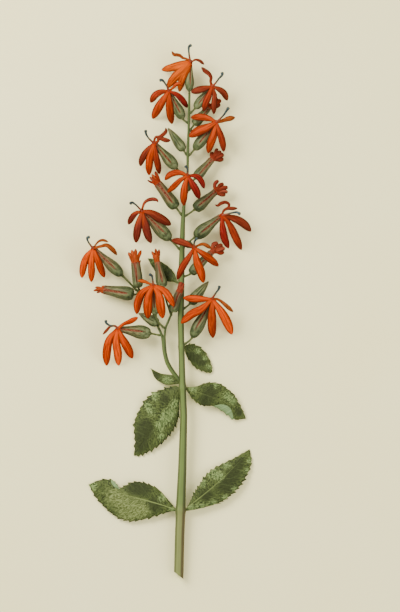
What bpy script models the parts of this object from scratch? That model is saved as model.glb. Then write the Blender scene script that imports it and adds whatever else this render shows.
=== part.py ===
"""Cardinal flower: a cut flowering stem that lies on a surface.

The stem lies along +Y with its tip towards +Y, and +Z is up from the surface. Everything is written in
millimetres in the plan of the stem and becomes metres where a mesh is made.
"""
import math
from collections import namedtuple

import bmesh
import bpy
from mathutils import Vector

# Driving dimensions, in millimetres
TO_METRES = 0.001
GAP = 0.3
STEM_LENGTH = 387.0
STEM_END_HEIGHT = 3.75
STEM_RISE = 8.0
STEM_RISE_LENGTH = 150.0
CUT_SLANT = 38.5
PEDICEL_RADIUS = 0.8
TUBE_RADIUS = 1.2
PETAL_THICKNESS = 0.8
LEAF_THICKNESS = 0.9
HUB_RADIUS = 1.6
HUB_AHEAD = 1.2
HUB_LIFT = 2.6
LOBE_DROOP = 2.4
LOBE_EVENING = 0.55
LOBE_CROWN = 0.16
ROOT_SPAN = 24.0
ROOT_SHARE = 0.42
COLUMN_STEPS = 4
COLUMN_RADIUS = 0.75
ROUND_BEVEL = 2
THIN_BEVEL = 1
STEM_STEPS = 18
BRANCH_STEPS = 13
LEAF_STEPS = 8
LEAF_COLUMNS = 4
LOBE_STEPS = 4

# The stem's middle line and radius: x, y, radius
STEM_LINE = [
    (-2.0, -6, 3.7), (-1.2, 30, 3.7), (-0.2, 58, 3.7), (1.0, 87, 3.3), (1.9, 118, 2.9), (2.2, 130, 2.7),
    (1.1, 155, 2.6), (0.6, 174, 2.4), (-0.2, 206, 2.4), (0.4, 245, 2.4), (1.4, 283, 1.8), (2.2, 296, 1.3),
    (5.3, 324, 0.9), (5.4, 340, 1.1), (6.1, 358, 1.0), (6.7, 387, 0.9),
]

# The side branch and its right fork: x, y, z, radius
BRANCH_LINE = [
    (-3.4, 160.8, 9.4, 1.6), (-6.8, 165, 9.4, 1.8), (-11.0, 172.4, 9.4, 1.8), (-13.2, 181, 9.2, 1.7),
    (-14.2, 189, 8.8, 1.5), (-15.6, 194.6, 8.0, 1.1), (-18.0, 200, 5.8, 1.0), (-20.8, 206, 4.2, 0.9),
    (-23.2, 215, 4.4, 0.9), (-25.8, 223.4, 5.6, 0.9), (-29.2, 227.6, 7.0, 0.9), (-33.2, 228.6, 8.4, 1.0),
]
FORK_LINE = [
    (-13.8, 187.5, 9.0, 1.4), (-13.2, 194, 9.6, 1.0), (-12.3, 200, 10.0, 0.9), (-10.2, 205.4, 10.3, 0.9),
    (-8.3, 210.2, 10.8, 0.9),
]

# Leaves. root_y is the place of the joint along the stem, side is +1 on the right and -1 on the left. middle
# and tip are points of the midrib in plan. left and right are the widest half blades, seen from the root
# towards the tip. arch is the rise of the middle of the midrib.
Leaf = namedtuple("Leaf", "root_y side root_z middle tip tip_z left right arch")
LEAVES = {
    "leaf_lower_left": Leaf(54.2, -1, 5.6, (-38.0, 62.4), (-74.0, 74.8), 0.5, 14.2, 15.4, 2.0),
    "leaf_lower_right": Leaf(54.2, 1, 5.6, (29.4, 77.0), (55.2, 103.2), 0.5, 11.4, 14.0, 3.0),
    "leaf_middle_left": Leaf(152.0, -1, 7.0, (-19.8, 125.4), (-37.7, 97.8), 0.5, 13.6, 15.0, 1.0),
    "leaf_middle_right": Leaf(151.5, 1, 7.0, (28.0, 145.6), (52.0, 127.6), 1.0, 8.4, 10.6, 3.0),
    "leaf_small_left": Leaf(156.4, -1, 6.3, (-14.8, 159.6), (-25.1, 168.7), 1.0, 3.7, 3.7, 0.5),
    "leaf_small_right": Leaf(184.8, 1, 6.0, (14.6, 176.4), (25.2, 165.0), 1.0, 6.4, 6.2, 1.0),
    "leaf_bract": Leaf(236.0, -1, 7.2, (-14.5, 245.6), (-26.9, 255.9), 1.0, 5.6, 5.4, -2.0),
}

# Open flowers. Points are x, y, z, and girth is the greatest radius of the calyx. A root that is one number
# is the place along y where the stalk leaves the stem. A lobe is the middle of its midrib in plan, its tip
# and its width, and the column is the same without a width.
Flower = namedtuple("Flower", "root base mouth girth lobes column")
FLOWERS = {
    "flower_1": Flower(
        (6.7, 388.0, 11.0), (6.6, 389.6, 10.8), (7.5, 411.7, 13.0), 3.3,
        [
            ((-4.1, 409.7), (-15.3, 406.5, 4), 5.6),
            ((-2.1, 403.7), (-11.1, 392.4, 0), 6.8),
            ((2.4, 400.7), (-0.5, 389.1, 3), 4.8),
            ((0.5, 417.1), (-7.1, 421.7, 16), 3.0),
            ((13.0, 414.6), (18.9, 410.7, 12), 2.8),
        ],
        ((6.5, 420.4), (8.5, 426.5, 22)),
    ),
    "flower_2": Flower(
        363.2, (2.2, 367.6, 9.0), (-9.3, 388.5, 14.0), 3.8,
        [
            ((-18.3, 388.4), (-24.0, 380.5, 3), 5.0),
            ((-16.5, 378.7), (-22.7, 367.7, 0), 6.8),
            ((-9.5, 377.1), (-6.9, 363.4, 1), 6.2),
            ((-1.5, 385.1), (5.1, 376.5, 7), 4.4),
            ((-5.5, 393.1), (0.3, 395.4, 17), 2.8),
        ],
        ((-12.5, 395.1), (-17.1, 397.9, 24)),
    ),
    "flower_3": Flower(
        370.8, (11.2, 375.7, 11.0), (24.1, 392.5, 15.0), 3.4,
        [
            ((17.2, 390.4), (8.5, 389.1, 17.5), 6.2),
            ((21.7, 383.6), (18.2, 373.6, 11), 5.2),
            ((27.1, 383.7), (26.8, 371.2, 11), 4.5),
            ((32.0, 389.8), (37.1, 382.4, 3), 5.2),
            ((22.4, 400.9), (16.5, 408.4, 19), 3.8),
        ],
        ((29.6, 398.4), (33.0, 404.7, 25)),
    ),
    "flower_4": Flower(
        336.8, (11.2, 342.3, 9.5), (27.5, 363.8, 15.0), 3.7,
        [
            ((19.9, 368.5), (8.5, 368.7, 16), 6.0),
            ((18.2, 359.7), (7.2, 353.4, 14), 6.6),
            ((24.6, 352.4), (21.5, 340.1, 9), 7.0),
            ((32.5, 352.4), (34.5, 340.9, 9), 5.3),
            ((35.9, 367.1), (43.5, 368.5, 13), 3.3),
        ],
        ((34.2, 370.1), (37.9, 376.5, 25)),
    ),
    "flower_5": Flower(
        319.6, (-4.3, 327.2, 9.0), (-20.7, 347.2, 14.0), 3.6,
        [
            ((-28.9, 339.9), (-32.5, 329.6, 2), 5.2),
            ((-24.8, 334.5), (-25.6, 322.5, 0), 5.6),
            ((-19.5, 335.2), (-17.2, 323.6, 3), 5.6),
            ((-15.0, 350.8), (-8.0, 350.5, 17), 3.4),
            ((-18.0, 353.8), (-10.8, 359.4, 20), 3.0),
        ],
        ((-26.1, 351.7), (-28.5, 358.4, 24)),
    ),
    "flower_6": Flower(
        299.0, (4.9, 309.2, 17.0), (5.3, 321.1, 27.0), 2.9,
        [
            ((-3.5, 324.4), (-12.3, 319.4, 21), 5.2),
            ((-2.8, 315.4), (-10.3, 308.1, 18), 4.4),
            ((2.9, 310.4), (2.2, 297.6, 17.5), 5.7),
            ((10.9, 313.4), (14.9, 304.1, 17.5), 5.6),
            ((12.8, 320.6), (18.4, 312.4, 21), 4.8),
        ],
        ((4.2, 326.4), (3.3, 329.4, 36)),
    ),
    "flower_7": Flower(
        260.8, (-8.6, 270.8, 9.0), (-30.4, 292.6, 14.0), 4.4,
        [
            ((-37.2, 289.4), (-41.7, 283.1, 2), 4.6),
            ((-33.8, 281.1), (-35.9, 268.4, 0), 5.8),
            ((-28.1, 281.1), (-24.1, 268.1, 2), 6.0),
            ((-18.9, 289.3), (-8.3, 282.6, 8), 8.2),
            ((-27.3, 301.7), (-18.3, 301.1, 18), 3.6),
        ],
        ((-35.1, 297.7), (-40.5, 299.7, 23)),
    ),
    "flower_8": Flower(
        263.6, (11.4, 272.2, 9.0), (32.0, 289.4, 14.0), 4.3,
        [
            ((33.2, 279.7), (38.1, 263.9, 0), 5.4),
            ((40.2, 280.7), (48.2, 262.7, 0), 5.8),
            ((44.9, 286.4), (55.7, 277.6, 2), 6.0),
            ((39.3, 294.2), (45.2, 295.9, 17), 2.8),
            ((36.4, 299.2), (27.4, 297.9, 20), 2.8),
        ],
        ((41.2, 292.4), (47.7, 291.7, 23)),
    ),
    "flower_9": Flower(
        (-36.2, 230.8, 7.0), (-46.8, 242.7, 8.5), (-69.3, 263.0, 13.0), 4.0,
        [
            ((-77.2, 256.0), (-79.6, 241.4, 0), 5.6),
            ((-71.6, 252.0), (-72.0, 237.2, 0), 5.0),
            ((-65.6, 252.8), (-61.4, 241.2, 2), 5.6),
            ((-58.4, 266.0), (-50.8, 259.2, 8), 3.6),
            ((-65.8, 270.2), (-58.4, 269.8, 16), 2.8),
        ],
        ((-74.4, 268.4), (-73.4, 273.2, 22)),
    ),
    "flower_10": Flower(
        269.0, (3.3, 268.4, 15.5), (10.1, 264.6, 27.0), 2.6,
        [
            ((2.9, 269.4), (-7.1, 271.1, 20), 5.0),
            ((3.9, 251.7), (-3.3, 239.2, 18), 5.2),
            ((14.2, 250.4), (17.5, 236.4, 16.5), 5.8),
            ((21.9, 258.1), (30.5, 249.2, 16.5), 5.4),
            ((18.2, 267.4), (24.7, 263.9, 22), 3.4),
        ],
        ((10.7, 268.4), (12.2, 271.4, 36)),
    ),
    "flower_11": Flower(
        (-14.3, 200.6, 11.4), (-20.4, 211.0, 15.5), (-22.2, 233.1, 24.0), 3.6,
        [
            ((-32.8, 224.8), (-35.4, 211.6, 13), 6.0),
            ((-26.0, 221.6), (-27.2, 208.4, 14), 6.4),
            ((-16.4, 222.4), (-14.2, 208.2, 14), 7.0),
            ((-12.4, 229.6), (-5.8, 218.4, 20), 5.6),
            ((-28.6, 237.0), (-34.8, 237.6, 24.5), 2.8),
        ],
        ((-22.6, 239.2), (-24.6, 243.2, 34)),
    ),
    "flower_12": Flower(
        184.6, (9.0, 192.6, 9.5), (24.6, 222.0, 17.0), 4.0,
        [
            ((13.6, 223.1), (2.6, 225.2, 16.5), 5.2),
            ((10.8, 214.0), (1.2, 203.6, 15.5), 5.8),
            ((24.8, 207.2), (26.0, 192.2, 2), 6.0),
            ((34.0, 211.2), (40.8, 195.6, 0), 7.0),
            ((33.6, 220.0), (41.8, 213.2, 11), 3.2),
        ],
        ((28.0, 228.8), (30.8, 233.2, 28)),
    ),
    "flower_13": Flower(
        (-17.4, 194.2, 8.4), (-24.2, 195.6, 8.6), (-49.6, 199.3, 13.5), 4.9,
        [
            ((-59.2, 186.4), (-59.8, 170.4, 0), 6.2),
            ((-50.8, 185.6), (-50.0, 170.0, 0), 6.0),
            ((-43.2, 188.0), (-38.6, 176.4, 1), 6.0),
            ((-42.4, 204.8), (-34.6, 207.8, 14), 3.8),
            ((-56.8, 200.8), (-62.6, 194.8, 14), 2.8),
        ],
        ((-56.4, 203.2), (-60.6, 206.0, 22)),
    ),
}

# Buds with red tips: root, base of the calyx, mouth of the calyx, tip and greatest radius
Bud = namedtuple("Bud", "root base mouth tip girth")
BUDS = {
    "bud_1": Bud(356.4, (10.6, 362.8, 9.6), (22.4, 376.4, 5.0), (29.4, 382.8, 4.6), 3.6),
    "bud_2": Bud(312.4, (11.2, 319.6, 9.5), (25.2, 335.2, 6.0), (32.8, 341.2, 5.0), 3.8),
    "bud_3": Bud(288.6, (-3.7, 296.0, 10.0), (-18.8, 316.0, 9.0), (-25.6, 322.0, 9.0), 4.2),
    "bud_4": Bud(288.4, (10.9, 294.8, 10.0), (28.0, 310.0, 9.0), (37.2, 315.2, 9.0), 4.0),
    "bud_5": Bud((-33.6, 230.9, 10.0), (-34.0, 232.2, 12.3), (-37.2, 252.8, 11.6), (-37.2, 262.8, 10.0), 3.8),
    "bud_6": Bud((-7.8, 210.4, 8.4), (-15.0, 232.4, 9.0), (-19.2, 254.4, 9.4), (-20.2, 263.2, 9.0), 4.2),
    "bud_7": Bud(240.0, (7.6, 243.6, 10.0), (24.8, 260.8, 8.5), (34.8, 266.0, 8.0), 3.7),
    "bud_8": Bud((-35.2, 227.4, 9.0), (-37.6, 227.2, 9.0), (-62.4, 231.6, 7.0), (-69.6, 230.4, 6.0), 5.2),
    "bud_9": Bud((-7.8, 211.6, 11.2), (-7.0, 213.2, 12.4), (-0.4, 229.6, 16.4), (1.0, 236.2, 17.0), 4.1),
}

# Green calyxes: root, base, tip and greatest radius
Green = namedtuple("Green", "root base tip girth")
GREENS = {
    "green_calyx_1": Green(337.2, (2.2, 342.0, 8.8), (-10.4, 360.0, 8.0), 3.8),
    "green_calyx_2": Green(213.4, (7.2, 219.6, 9.5), (22.0, 237.2, 8.0), 4.2),
    "green_calyx_3": Green((-18.2, 200.8, 9.0), (-18.4, 203.4, 10.0), (-33.8, 211.8, 8.0), 3.5),
}

# How thick each piece is along its own axis: part of the length, part of its greatest radius
CALYX_PROFILE = [(0.05, 0.76), (0.16, 1.0), (0.44, 0.86), (0.74, 0.50)]
BUD_PROFILE = [(0.05, 0.78), (0.17, 1.0), (0.46, 0.82), (0.74, 0.52)]
BUD_TIP_PROFILE = [(0.36, 0.66), (0.86, 0.60)]
GREEN_PROFILE = [(0.05, 0.70), (0.18, 1.0), (0.42, 0.90), (0.68, 0.55), (0.88, 0.28)]
LEAF_OUTLINE = [
    (0.0, 0.07), (0.08, 0.26), (0.20, 0.66), (0.34, 0.94), (0.48, 1.0), (0.64, 0.90), (0.80, 0.62),
    (0.92, 0.28), (1.0, 0.03),
]
LOBE_OUTLINE = [(0.0, 0.20), (0.25, 0.46), (0.50, 0.84), (0.68, 0.92), (0.86, 0.62), (1.0, 0.16)]

# Colours, as red, green and blue in linear light, and the roughness
STEM_GREEN = (0.22, 0.30, 0.13)
LEAF_GREEN = (0.07, 0.14, 0.06)
CALYX_GREEN = (0.16, 0.20, 0.11)
PETAL_RED = (0.70, 0.07, 0.02)
COLUMN_BLUE = (0.14, 0.19, 0.26)
BUD_GREEN = (0.20, 0.20, 0.12)
PLANT_ROUGHNESS = 0.6


def catmull(points, t):
    """A point of the smooth curve through the given points, for t from 0 to 1."""
    last = len(points) - 1
    place = min(max(t, 0.0), 1.0) * last
    i = min(int(place), last - 1)
    f = place - i
    p1, p2 = Vector(points[i]), Vector(points[i + 1])
    p0 = Vector(points[i - 1]) if i > 0 else 2 * p1 - p2
    p3 = Vector(points[i + 2]) if i + 2 <= last else 2 * p2 - p1
    return 0.5 * (2 * p1 + (p2 - p0) * f + (2 * p0 - 5 * p1 + 4 * p2 - p3) * f * f
                  + (3 * p1 - p0 - 3 * p2 + p3) * f * f * f)


def outline_at(outline, t):
    """The value of a profile of (place, value) pairs at t, on a smooth curve."""
    for (t0, v0), (t1, v1) in zip(outline, outline[1:]):
        if t <= t1:
            f = (t - t0) / (t1 - t0)
            return v0 + (v1 - v0) * f * f * (3 - 2 * f)
    return outline[-1][1]


def bezier(start, control, end, t):
    """A point of the quadratic curve from start to end."""
    return start * (1 - t) ** 2 + control * 2 * t * (1 - t) + end * t * t


def stem_height(y):
    """Height of the stem's middle above the surface."""
    return STEM_END_HEIGHT + STEM_RISE * (1 - math.exp(-max(y, 0.0) / STEM_RISE_LENGTH))


def stem_at(y):
    """The stem's middle point and its radius at y."""
    for (x0, y0, r0), (x1, y1, r1) in zip(STEM_LINE, STEM_LINE[1:]):
        if y <= y1:
            f = (y - y0) / (y1 - y0)
            return Vector((x0 + (x1 - x0) * f, y, stem_height(y))), r0 + (r1 - r0) * f
    x, _, r = STEM_LINE[-1]
    return Vector((x, y, stem_height(y))), r


def root_point(root, base):
    """Where a flower stalk starts: beside the stem, or at a given point of the side branch."""
    if not isinstance(root, float):
        return Vector(root)
    middle, radius = stem_at(root)
    towards = (Vector(base) - middle).normalized()
    clear = math.hypot(towards.x, towards.z)
    return middle + towards * (radius + GAP + PEDICEL_RADIUS * abs(towards.y)) / clear


def material(name, colour):
    made = bpy.data.materials.new(name)
    made.use_nodes = True
    shader = made.node_tree.nodes["Principled BSDF"]
    shader.inputs["Base Color"].default_value = (*colour, 1.0)
    shader.inputs["Roughness"].default_value = PLANT_ROUGHNESS
    shader.inputs["Metallic"].default_value = 0.0
    made.diffuse_color = (*colour, 1.0)
    return made


def add_object(name, data, colour):
    """Put a mesh or a curve in the plant's collection with its own material."""
    data.materials.append(material(name, colour))
    made = bpy.data.objects.new(name, data)
    plant.objects.link(made)
    made.parent = origin
    return made


def tube(name, points, colour, bevel):
    """A round solid along points of (place in millimetres, radius)."""
    curve = bpy.data.curves.new(name, "CURVE")
    curve.dimensions = "3D"
    curve.bevel_depth = TO_METRES
    curve.bevel_resolution = bevel
    curve.use_fill_caps = True
    line = curve.splines.new("POLY")
    line.points.add(len(points) - 1)
    for point, (place, radius) in zip(line.points, points):
        point.co = (*(Vector(place) * TO_METRES), 1.0)
        point.radius = radius
    return add_object(name, curve, colour)


def as_mesh(curve_object):
    """Turn a curve object into a mesh object with welded caps."""
    bpy.context.view_layer.update()
    depsgraph = bpy.context.evaluated_depsgraph_get()
    mesh = bpy.data.meshes.new_from_object(curve_object.evaluated_get(depsgraph))
    mesh.name = curve_object.name
    work = bmesh.new()
    work.from_mesh(mesh)
    bmesh.ops.remove_doubles(work, verts=work.verts, dist=0.00001)
    work.to_mesh(mesh)
    work.free()
    name = curve_object.name
    bpy.data.objects.remove(curve_object)
    made = bpy.data.objects.new(name, mesh)
    plant.objects.link(made)
    made.parent = origin
    return made


def shell(name, work, thickness, colour):
    """A closed sheet from the open surface in a bmesh, with Solidify."""
    bmesh.ops.recalc_face_normals(work, faces=work.faces)
    mesh = bpy.data.meshes.new(name)
    work.to_mesh(mesh)
    work.free()
    mesh.shade_smooth()
    made = add_object(name, mesh, colour)
    solidify = made.modifiers.new("thickness", "SOLIDIFY")
    solidify.thickness = thickness * TO_METRES
    solidify.offset = 0.0
    return made


def build_stem():
    """The main stem, with its foot cut at a slant."""
    first, last = STEM_LINE[0][1], STEM_LENGTH
    rows = []
    for i in range(STEM_STEPS + 1):
        y = first + (last - first) * i / STEM_STEPS
        rows.append(stem_at(y))
    stem = as_mesh(tube("stem", rows, STEM_GREEN, ROUND_BEVEL))
    slant = math.radians(CUT_SLANT)
    normal = Vector((math.sin(slant), math.cos(slant), 0.0))
    foot = Vector((-1.8, 2.0, 0.0)) * TO_METRES
    work = bmesh.new()
    work.from_mesh(stem.data)
    cut = bmesh.ops.bisect_plane(
        work, geom=work.verts[:] + work.edges[:] + work.faces[:], plane_co=foot, plane_no=normal,
        clear_inner=True)
    edges = [item for item in cut["geom_cut"] if isinstance(item, bmesh.types.BMEdge)]
    bmesh.ops.contextual_create(work, geom=edges)
    bmesh.ops.recalc_face_normals(work, faces=work.faces)
    work.to_mesh(stem.data)
    work.free()
    return stem


def build_branch():
    """The side branch and its right fork, joined where they part."""
    pieces = []
    for name, line, steps in (("side_branch", BRANCH_LINE, BRANCH_STEPS), ("fork", FORK_LINE, 5)):
        rows = []
        for i in range(steps + 1):
            x, y, z, radius = catmull([Vector(p) for p in line], i / steps)
            rows.append((Vector((x, y, z)), radius))
        pieces.append(as_mesh(tube(name, rows, STEM_GREEN, ROUND_BEVEL)))
    branch, fork = pieces
    union = branch.modifiers.new("fork", "BOOLEAN")
    union.operation = "UNION"
    union.object = fork
    bpy.context.view_layer.update()
    depsgraph = bpy.context.evaluated_depsgraph_get()
    joined = bpy.data.meshes.new_from_object(branch.evaluated_get(depsgraph))
    branch.modifiers.clear()
    branch.data = joined
    bpy.data.objects.remove(fork)
    return branch


def build_leaf(name, leaf):
    """A pointed oval blade, bent along its midrib, on a grid that is thickened."""
    middle_of_stem, radius = stem_at(leaf.root_y)
    reach = radius + GAP + LEAF_THICKNESS / 2
    root = Vector((middle_of_stem.x + leaf.side * reach, leaf.root_y))
    middle, tip = Vector(leaf.middle), Vector(leaf.tip)
    control = 2 * middle - (root + tip) / 2
    work = bmesh.new()
    bmesh.ops.create_grid(work, x_segments=LEAF_STEPS, y_segments=LEAF_COLUMNS, size=1.0)
    for vert in work.verts:
        u, v = (vert.co.x + 1) / 2, vert.co.y
        vert.co = leaf_point(leaf, root, control, tip, u, v) * TO_METRES
    return shell(name, work, LEAF_THICKNESS, LEAF_GREEN)


def leaf_point(leaf, root, control, tip, u, v):
    """The point of a leaf at u along the midrib and v across it, from -1 on the left to 1 on the right."""
    place = bezier(root, control, tip, u)
    ahead = ((control - root) * (1 - u) + (tip - control) * u).normalized()
    across = Vector((ahead.y, -ahead.x))
    half = (leaf.right if v > 0 else leaf.left) * outline_at(LEAF_OUTLINE, u)
    height = leaf.root_z + (leaf.tip_z - leaf.root_z) * u + leaf.arch * 4 * u * (1 - u)
    side, lift = v * half, -0.12 * half * v * v
    flat = place + across * side
    return Vector((flat.x, flat.y, max(height + lift, LEAF_THICKNESS / 2)))


def build_calyx(name, flower):
    """A flower stalk and the calyx cup that it carries, up to the mouth of the tube."""
    base, mouth = Vector(flower.base), Vector(flower.mouth)
    root = root_point(flower.root, base)
    control = base.lerp(mouth, 0.7)
    control.z = base.z + 0.15 * (mouth.z - base.z)
    rows = stalk_rows(root, base, control)
    rows += [(bezier(base, control, mouth, t), flower.girth * part) for t, part in CALYX_PROFILE]
    rows.append((mouth, TUBE_RADIUS))
    return tube(name, rows, CALYX_GREEN, ROUND_BEVEL)


def stalk_rows(root, base, control):
    """The points of a flower stalk that bends into the calyx."""
    bend = base - (control - base).normalized() * (base - root).length * 0.4
    return [(root, PEDICEL_RADIUS), (bezier(root, bend, base, 0.5), PEDICEL_RADIUS), (base, 1.2)]


def hub_of(flower):
    """The middle of the corolla, where its lobes meet over the end of the tube."""
    base, mouth = Vector(flower.base), Vector(flower.mouth)
    ahead = (mouth - base).normalized()
    return Vector((mouth.x + ahead.x * HUB_AHEAD, mouth.y + ahead.y * HUB_AHEAD, mouth.z + HUB_LIFT))


def plan_curve(start, middle, tip, t):
    """The point at t of a curve in plan that passes its middle halfway, and its heading there."""
    control = 2 * Vector(middle) - (start + tip) / 2
    ahead = (control - start) * (1 - t) + (tip - control) * t
    return bezier(start, control, tip, t), ahead.normalized()


def root_places(headings):
    """Where the lobes leave the hub: between their own headings and five even places around it."""
    even = 360 / len(headings)
    shift = sum(heading - i * even for i, heading in enumerate(headings)) / len(headings)
    return [heading + LOBE_EVENING * (shift + i * even - heading) for i, heading in enumerate(headings)]


def build_corolla(name, flower):
    """A star of five lobes: a small hub whose edge is drawn out into each lobe in turn."""
    hub = hub_of(flower)
    lobes = sorted((first_heading(hub, lobe), lobe) for lobe in flower.lobes)
    places = root_places([heading for heading, _ in lobes])
    work = bmesh.new()
    bmesh.ops.create_circle(work, cap_ends=True, segments=3 * len(lobes), radius=HUB_RADIUS)
    ring = sorted(work.verts, key=lambda vert: math.atan2(vert.co.y, vert.co.x) % math.tau)
    for i, (place, (_, lobe)) in enumerate(zip(places, lobes)):
        before = (place - places[i - 1]) % 360
        after = (places[(i + 1) % len(places)] - place) % 360
        span = min(ROOT_SPAN, ROOT_SHARE * before, ROOT_SHARE * after)
        row = ring[3 * i:3 * i + 3]
        for vert, step in zip(row, (-1, 0, 1)):
            angle = math.radians(place + step * span)
            vert.co = hub + Vector((math.cos(angle), math.sin(angle), 0.0)) * HUB_RADIUS
        draw_lobe(work, row, lobe, hub)
    for vert in work.verts:
        vert.co = vert.co * TO_METRES
    return shell(name, work, PETAL_THICKNESS, PETAL_RED)


def first_heading(hub, lobe):
    """The heading in degrees at which a lobe would leave the middle of the hub."""
    middle, tip, _ = lobe
    _, ahead = plan_curve(hub.xy, middle, Vector(tip).xy, 0.0)
    return math.degrees(math.atan2(ahead.y, ahead.x)) % 360


def draw_lobe(work, row, lobe, hub):
    """Draw three vertices of the hub's edge out into a lobe, one row at a time."""
    middle, tip, width = lobe
    tip = Vector(tip)
    start = row[1].co.xy
    root_width = (row[0].co - row[2].co).length
    for k in range(1, LOBE_STEPS + 1):
        t = k / LOBE_STEPS
        place, ahead = plan_curve(start, middle, tip.xy, t)
        half = 0.5 * max(width * outline_at(LOBE_OUTLINE, t), root_width * (1 - t))
        height = hub.z + (tip.z - hub.z) * t ** LOBE_DROOP
        edges = [edge for edge in work.edges if set(edge.verts) <= set(row)]
        drawn = bmesh.ops.extrude_edge_only(work, edges=edges)["geom"]
        fresh = [item for item in drawn if isinstance(item, bmesh.types.BMVert)]
        row = [min(fresh, key=lambda vert: (vert.co - old.co).length) for old in row]
        for vert, side in zip(row, (-1, 0, 1)):
            flat = place + Vector((-ahead.y, ahead.x)) * side * half
            vert.co = Vector((flat.x, flat.y, height + LOBE_CROWN * half * (1 - 2 * abs(side))))


def build_column(name, flower):
    """The stamen column: a thin stalk that rises from the mouth and hooks over at its tip."""
    hub = hub_of(flower)
    middle, tip = flower.column
    tip = Vector(tip)
    low = hub.z + PETAL_THICKNESS / 2 + GAP + COLUMN_RADIUS + 0.4
    rows = []
    for k in range(COLUMN_STEPS + 1):
        t = k / COLUMN_STEPS
        place, _ = plan_curve(hub.xy, middle, tip.xy, t)
        radius = COLUMN_RADIUS * (1.0 if t < 0.7 else 1.3 - 1.5 * max(0.0, t - 0.85))
        rows.append((Vector((place.x, place.y, low + (tip.z - low) * t)), radius))
    return tube(name, rows, COLUMN_BLUE, THIN_BEVEL)


def build_bud(name, bud):
    """A stalk, a calyx and the closed corolla that shows at its end."""
    base, mouth, tip = Vector(bud.base), Vector(bud.mouth), Vector(bud.tip)
    root = root_point(bud.root, base)
    rows = stalk_rows(root, base, mouth)
    rows += [(base.lerp(mouth, t), bud.girth * part) for t, part in BUD_PROFILE]
    rows += [(mouth.lerp(tip, t), bud.girth * part) for t, part in BUD_TIP_PROFILE]
    rows.append((tip, 0.5))
    return tube(name, rows, BUD_GREEN, ROUND_BEVEL)


def build_green(name, green):
    """A stalk and a pointed green calyx."""
    base, tip = Vector(green.base), Vector(green.tip)
    root = root_point(green.root, base)
    rows = stalk_rows(root, base, tip)
    rows += [(base.lerp(tip, t), green.girth * part) for t, part in GREEN_PROFILE]
    rows.append((tip, 0.5))
    return tube(name, rows, CALYX_GREEN, ROUND_BEVEL)


def place_origin():
    """Move the plant so that the middle of its underside is at the world's origin."""
    bpy.context.view_layer.update()
    depsgraph = bpy.context.evaluated_depsgraph_get()
    corners = []
    for piece in plant.objects:
        if piece.type == "EMPTY":
            continue
        shown = piece.evaluated_get(depsgraph)
        mesh = shown.to_mesh()
        corners += [vert.co.copy() for vert in mesh.vertices]
        shown.to_mesh_clear()
    low = Vector([min(corner[axis] for corner in corners) for axis in range(3)])
    high = Vector([max(corner[axis] for corner in corners) for axis in range(3)])
    origin.location = (-(low.x + high.x) / 2, -(low.y + high.y) / 2, -low.z)


for old in list(bpy.data.objects):
    bpy.data.objects.remove(old)
plant = bpy.data.collections.new("cardinal_flower")
bpy.context.scene.collection.children.link(plant)
origin = bpy.data.objects.new("cardinal_flower_origin", None)
plant.objects.link(origin)

build_stem()
build_branch()
for leaf_name, leaf_data in LEAVES.items():
    build_leaf(leaf_name, leaf_data)
for flower_name, flower_data in FLOWERS.items():
    build_calyx(flower_name + "_calyx", flower_data)
    build_corolla(flower_name + "_corolla", flower_data)
    build_column(flower_name + "_column", flower_data)
for bud_name, bud_data in BUDS.items():
    build_bud(bud_name, bud_data)
for green_name, green_data in GREENS.items():
    build_green(green_name, green_data)
place_origin()
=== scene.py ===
"""Cardinal flower: a cut flowering stem that lies on a pale surface, seen from straight above.

Places are in millimetres in the plan of the stem, with the tip towards +Y, and are moved into the frame
where a mesh is made. Each piece rides on the one body and stands for the solid of the same name.
"""
import math
import random
from bisect import bisect
from collections import namedtuple

import bmesh
import bpy
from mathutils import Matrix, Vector


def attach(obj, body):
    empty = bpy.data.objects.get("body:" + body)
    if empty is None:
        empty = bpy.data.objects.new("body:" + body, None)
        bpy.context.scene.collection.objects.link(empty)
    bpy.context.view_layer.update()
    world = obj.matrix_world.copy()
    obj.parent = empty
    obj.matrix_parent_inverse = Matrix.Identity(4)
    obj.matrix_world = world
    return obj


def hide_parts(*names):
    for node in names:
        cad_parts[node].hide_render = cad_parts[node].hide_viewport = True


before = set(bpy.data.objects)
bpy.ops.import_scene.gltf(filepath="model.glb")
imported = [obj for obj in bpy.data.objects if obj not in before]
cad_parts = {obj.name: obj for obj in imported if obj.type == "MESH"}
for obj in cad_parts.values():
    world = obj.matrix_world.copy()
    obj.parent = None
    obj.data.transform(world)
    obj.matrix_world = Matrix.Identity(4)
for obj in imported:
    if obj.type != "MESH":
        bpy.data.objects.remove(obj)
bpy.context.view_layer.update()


# The surface, the light and the camera
# A smooth cream board under the plant. Two broad lamps stand low on either side, so that upper faces don't
# mirror them, with soft light all round. The camera looks straight down without perspective.

MM = 0.001
PLAN_SHIFT = Vector((12.43, -213.02, 0.38))
VIEW_MIDDLE = Vector((15.2, 217.6, 0.0))
VIEW_LONG_SIDE = 612 * 0.8 * MM
CAMERA_HEIGHT = 1.2
BOARD_SIZE = 3.0

# Each lamp's name, its place and size in metres, and its power
LAMPS = [("main_lamp", (-0.85, 0.75, 0.95), 0.7, 36.0), ("fill_lamp", (1.05, -0.35, 0.85), 0.9, 11.0)]


def in_frame(place):
    """A place of the plan, in the frame's metres."""
    return (Vector(place) + PLAN_SHIFT) * MM


def linear(hex_colour, alpha=1.0):
    """An sRGB hex colour in linear light."""
    parts = [int(hex_colour[i:i + 2], 16) / 255 for i in (0, 2, 4)]
    return (*(c / 12.92 if c <= 0.04045 else ((c + 0.055) / 1.055) ** 2.4 for c in parts), alpha)


def add_node(tree, kind, inputs=(), **settings):
    """Add a node with its settings, and set or link its inputs by name or number."""
    node = tree.nodes.new(kind)
    for name, value in settings.items():
        setattr(node, name, value)
    for name, value in dict(inputs).items():
        if isinstance(value, bpy.types.NodeSocket):
            tree.links.new(value, node.inputs[name])
        else:
            node.inputs[name].default_value = value
    return node


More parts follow.
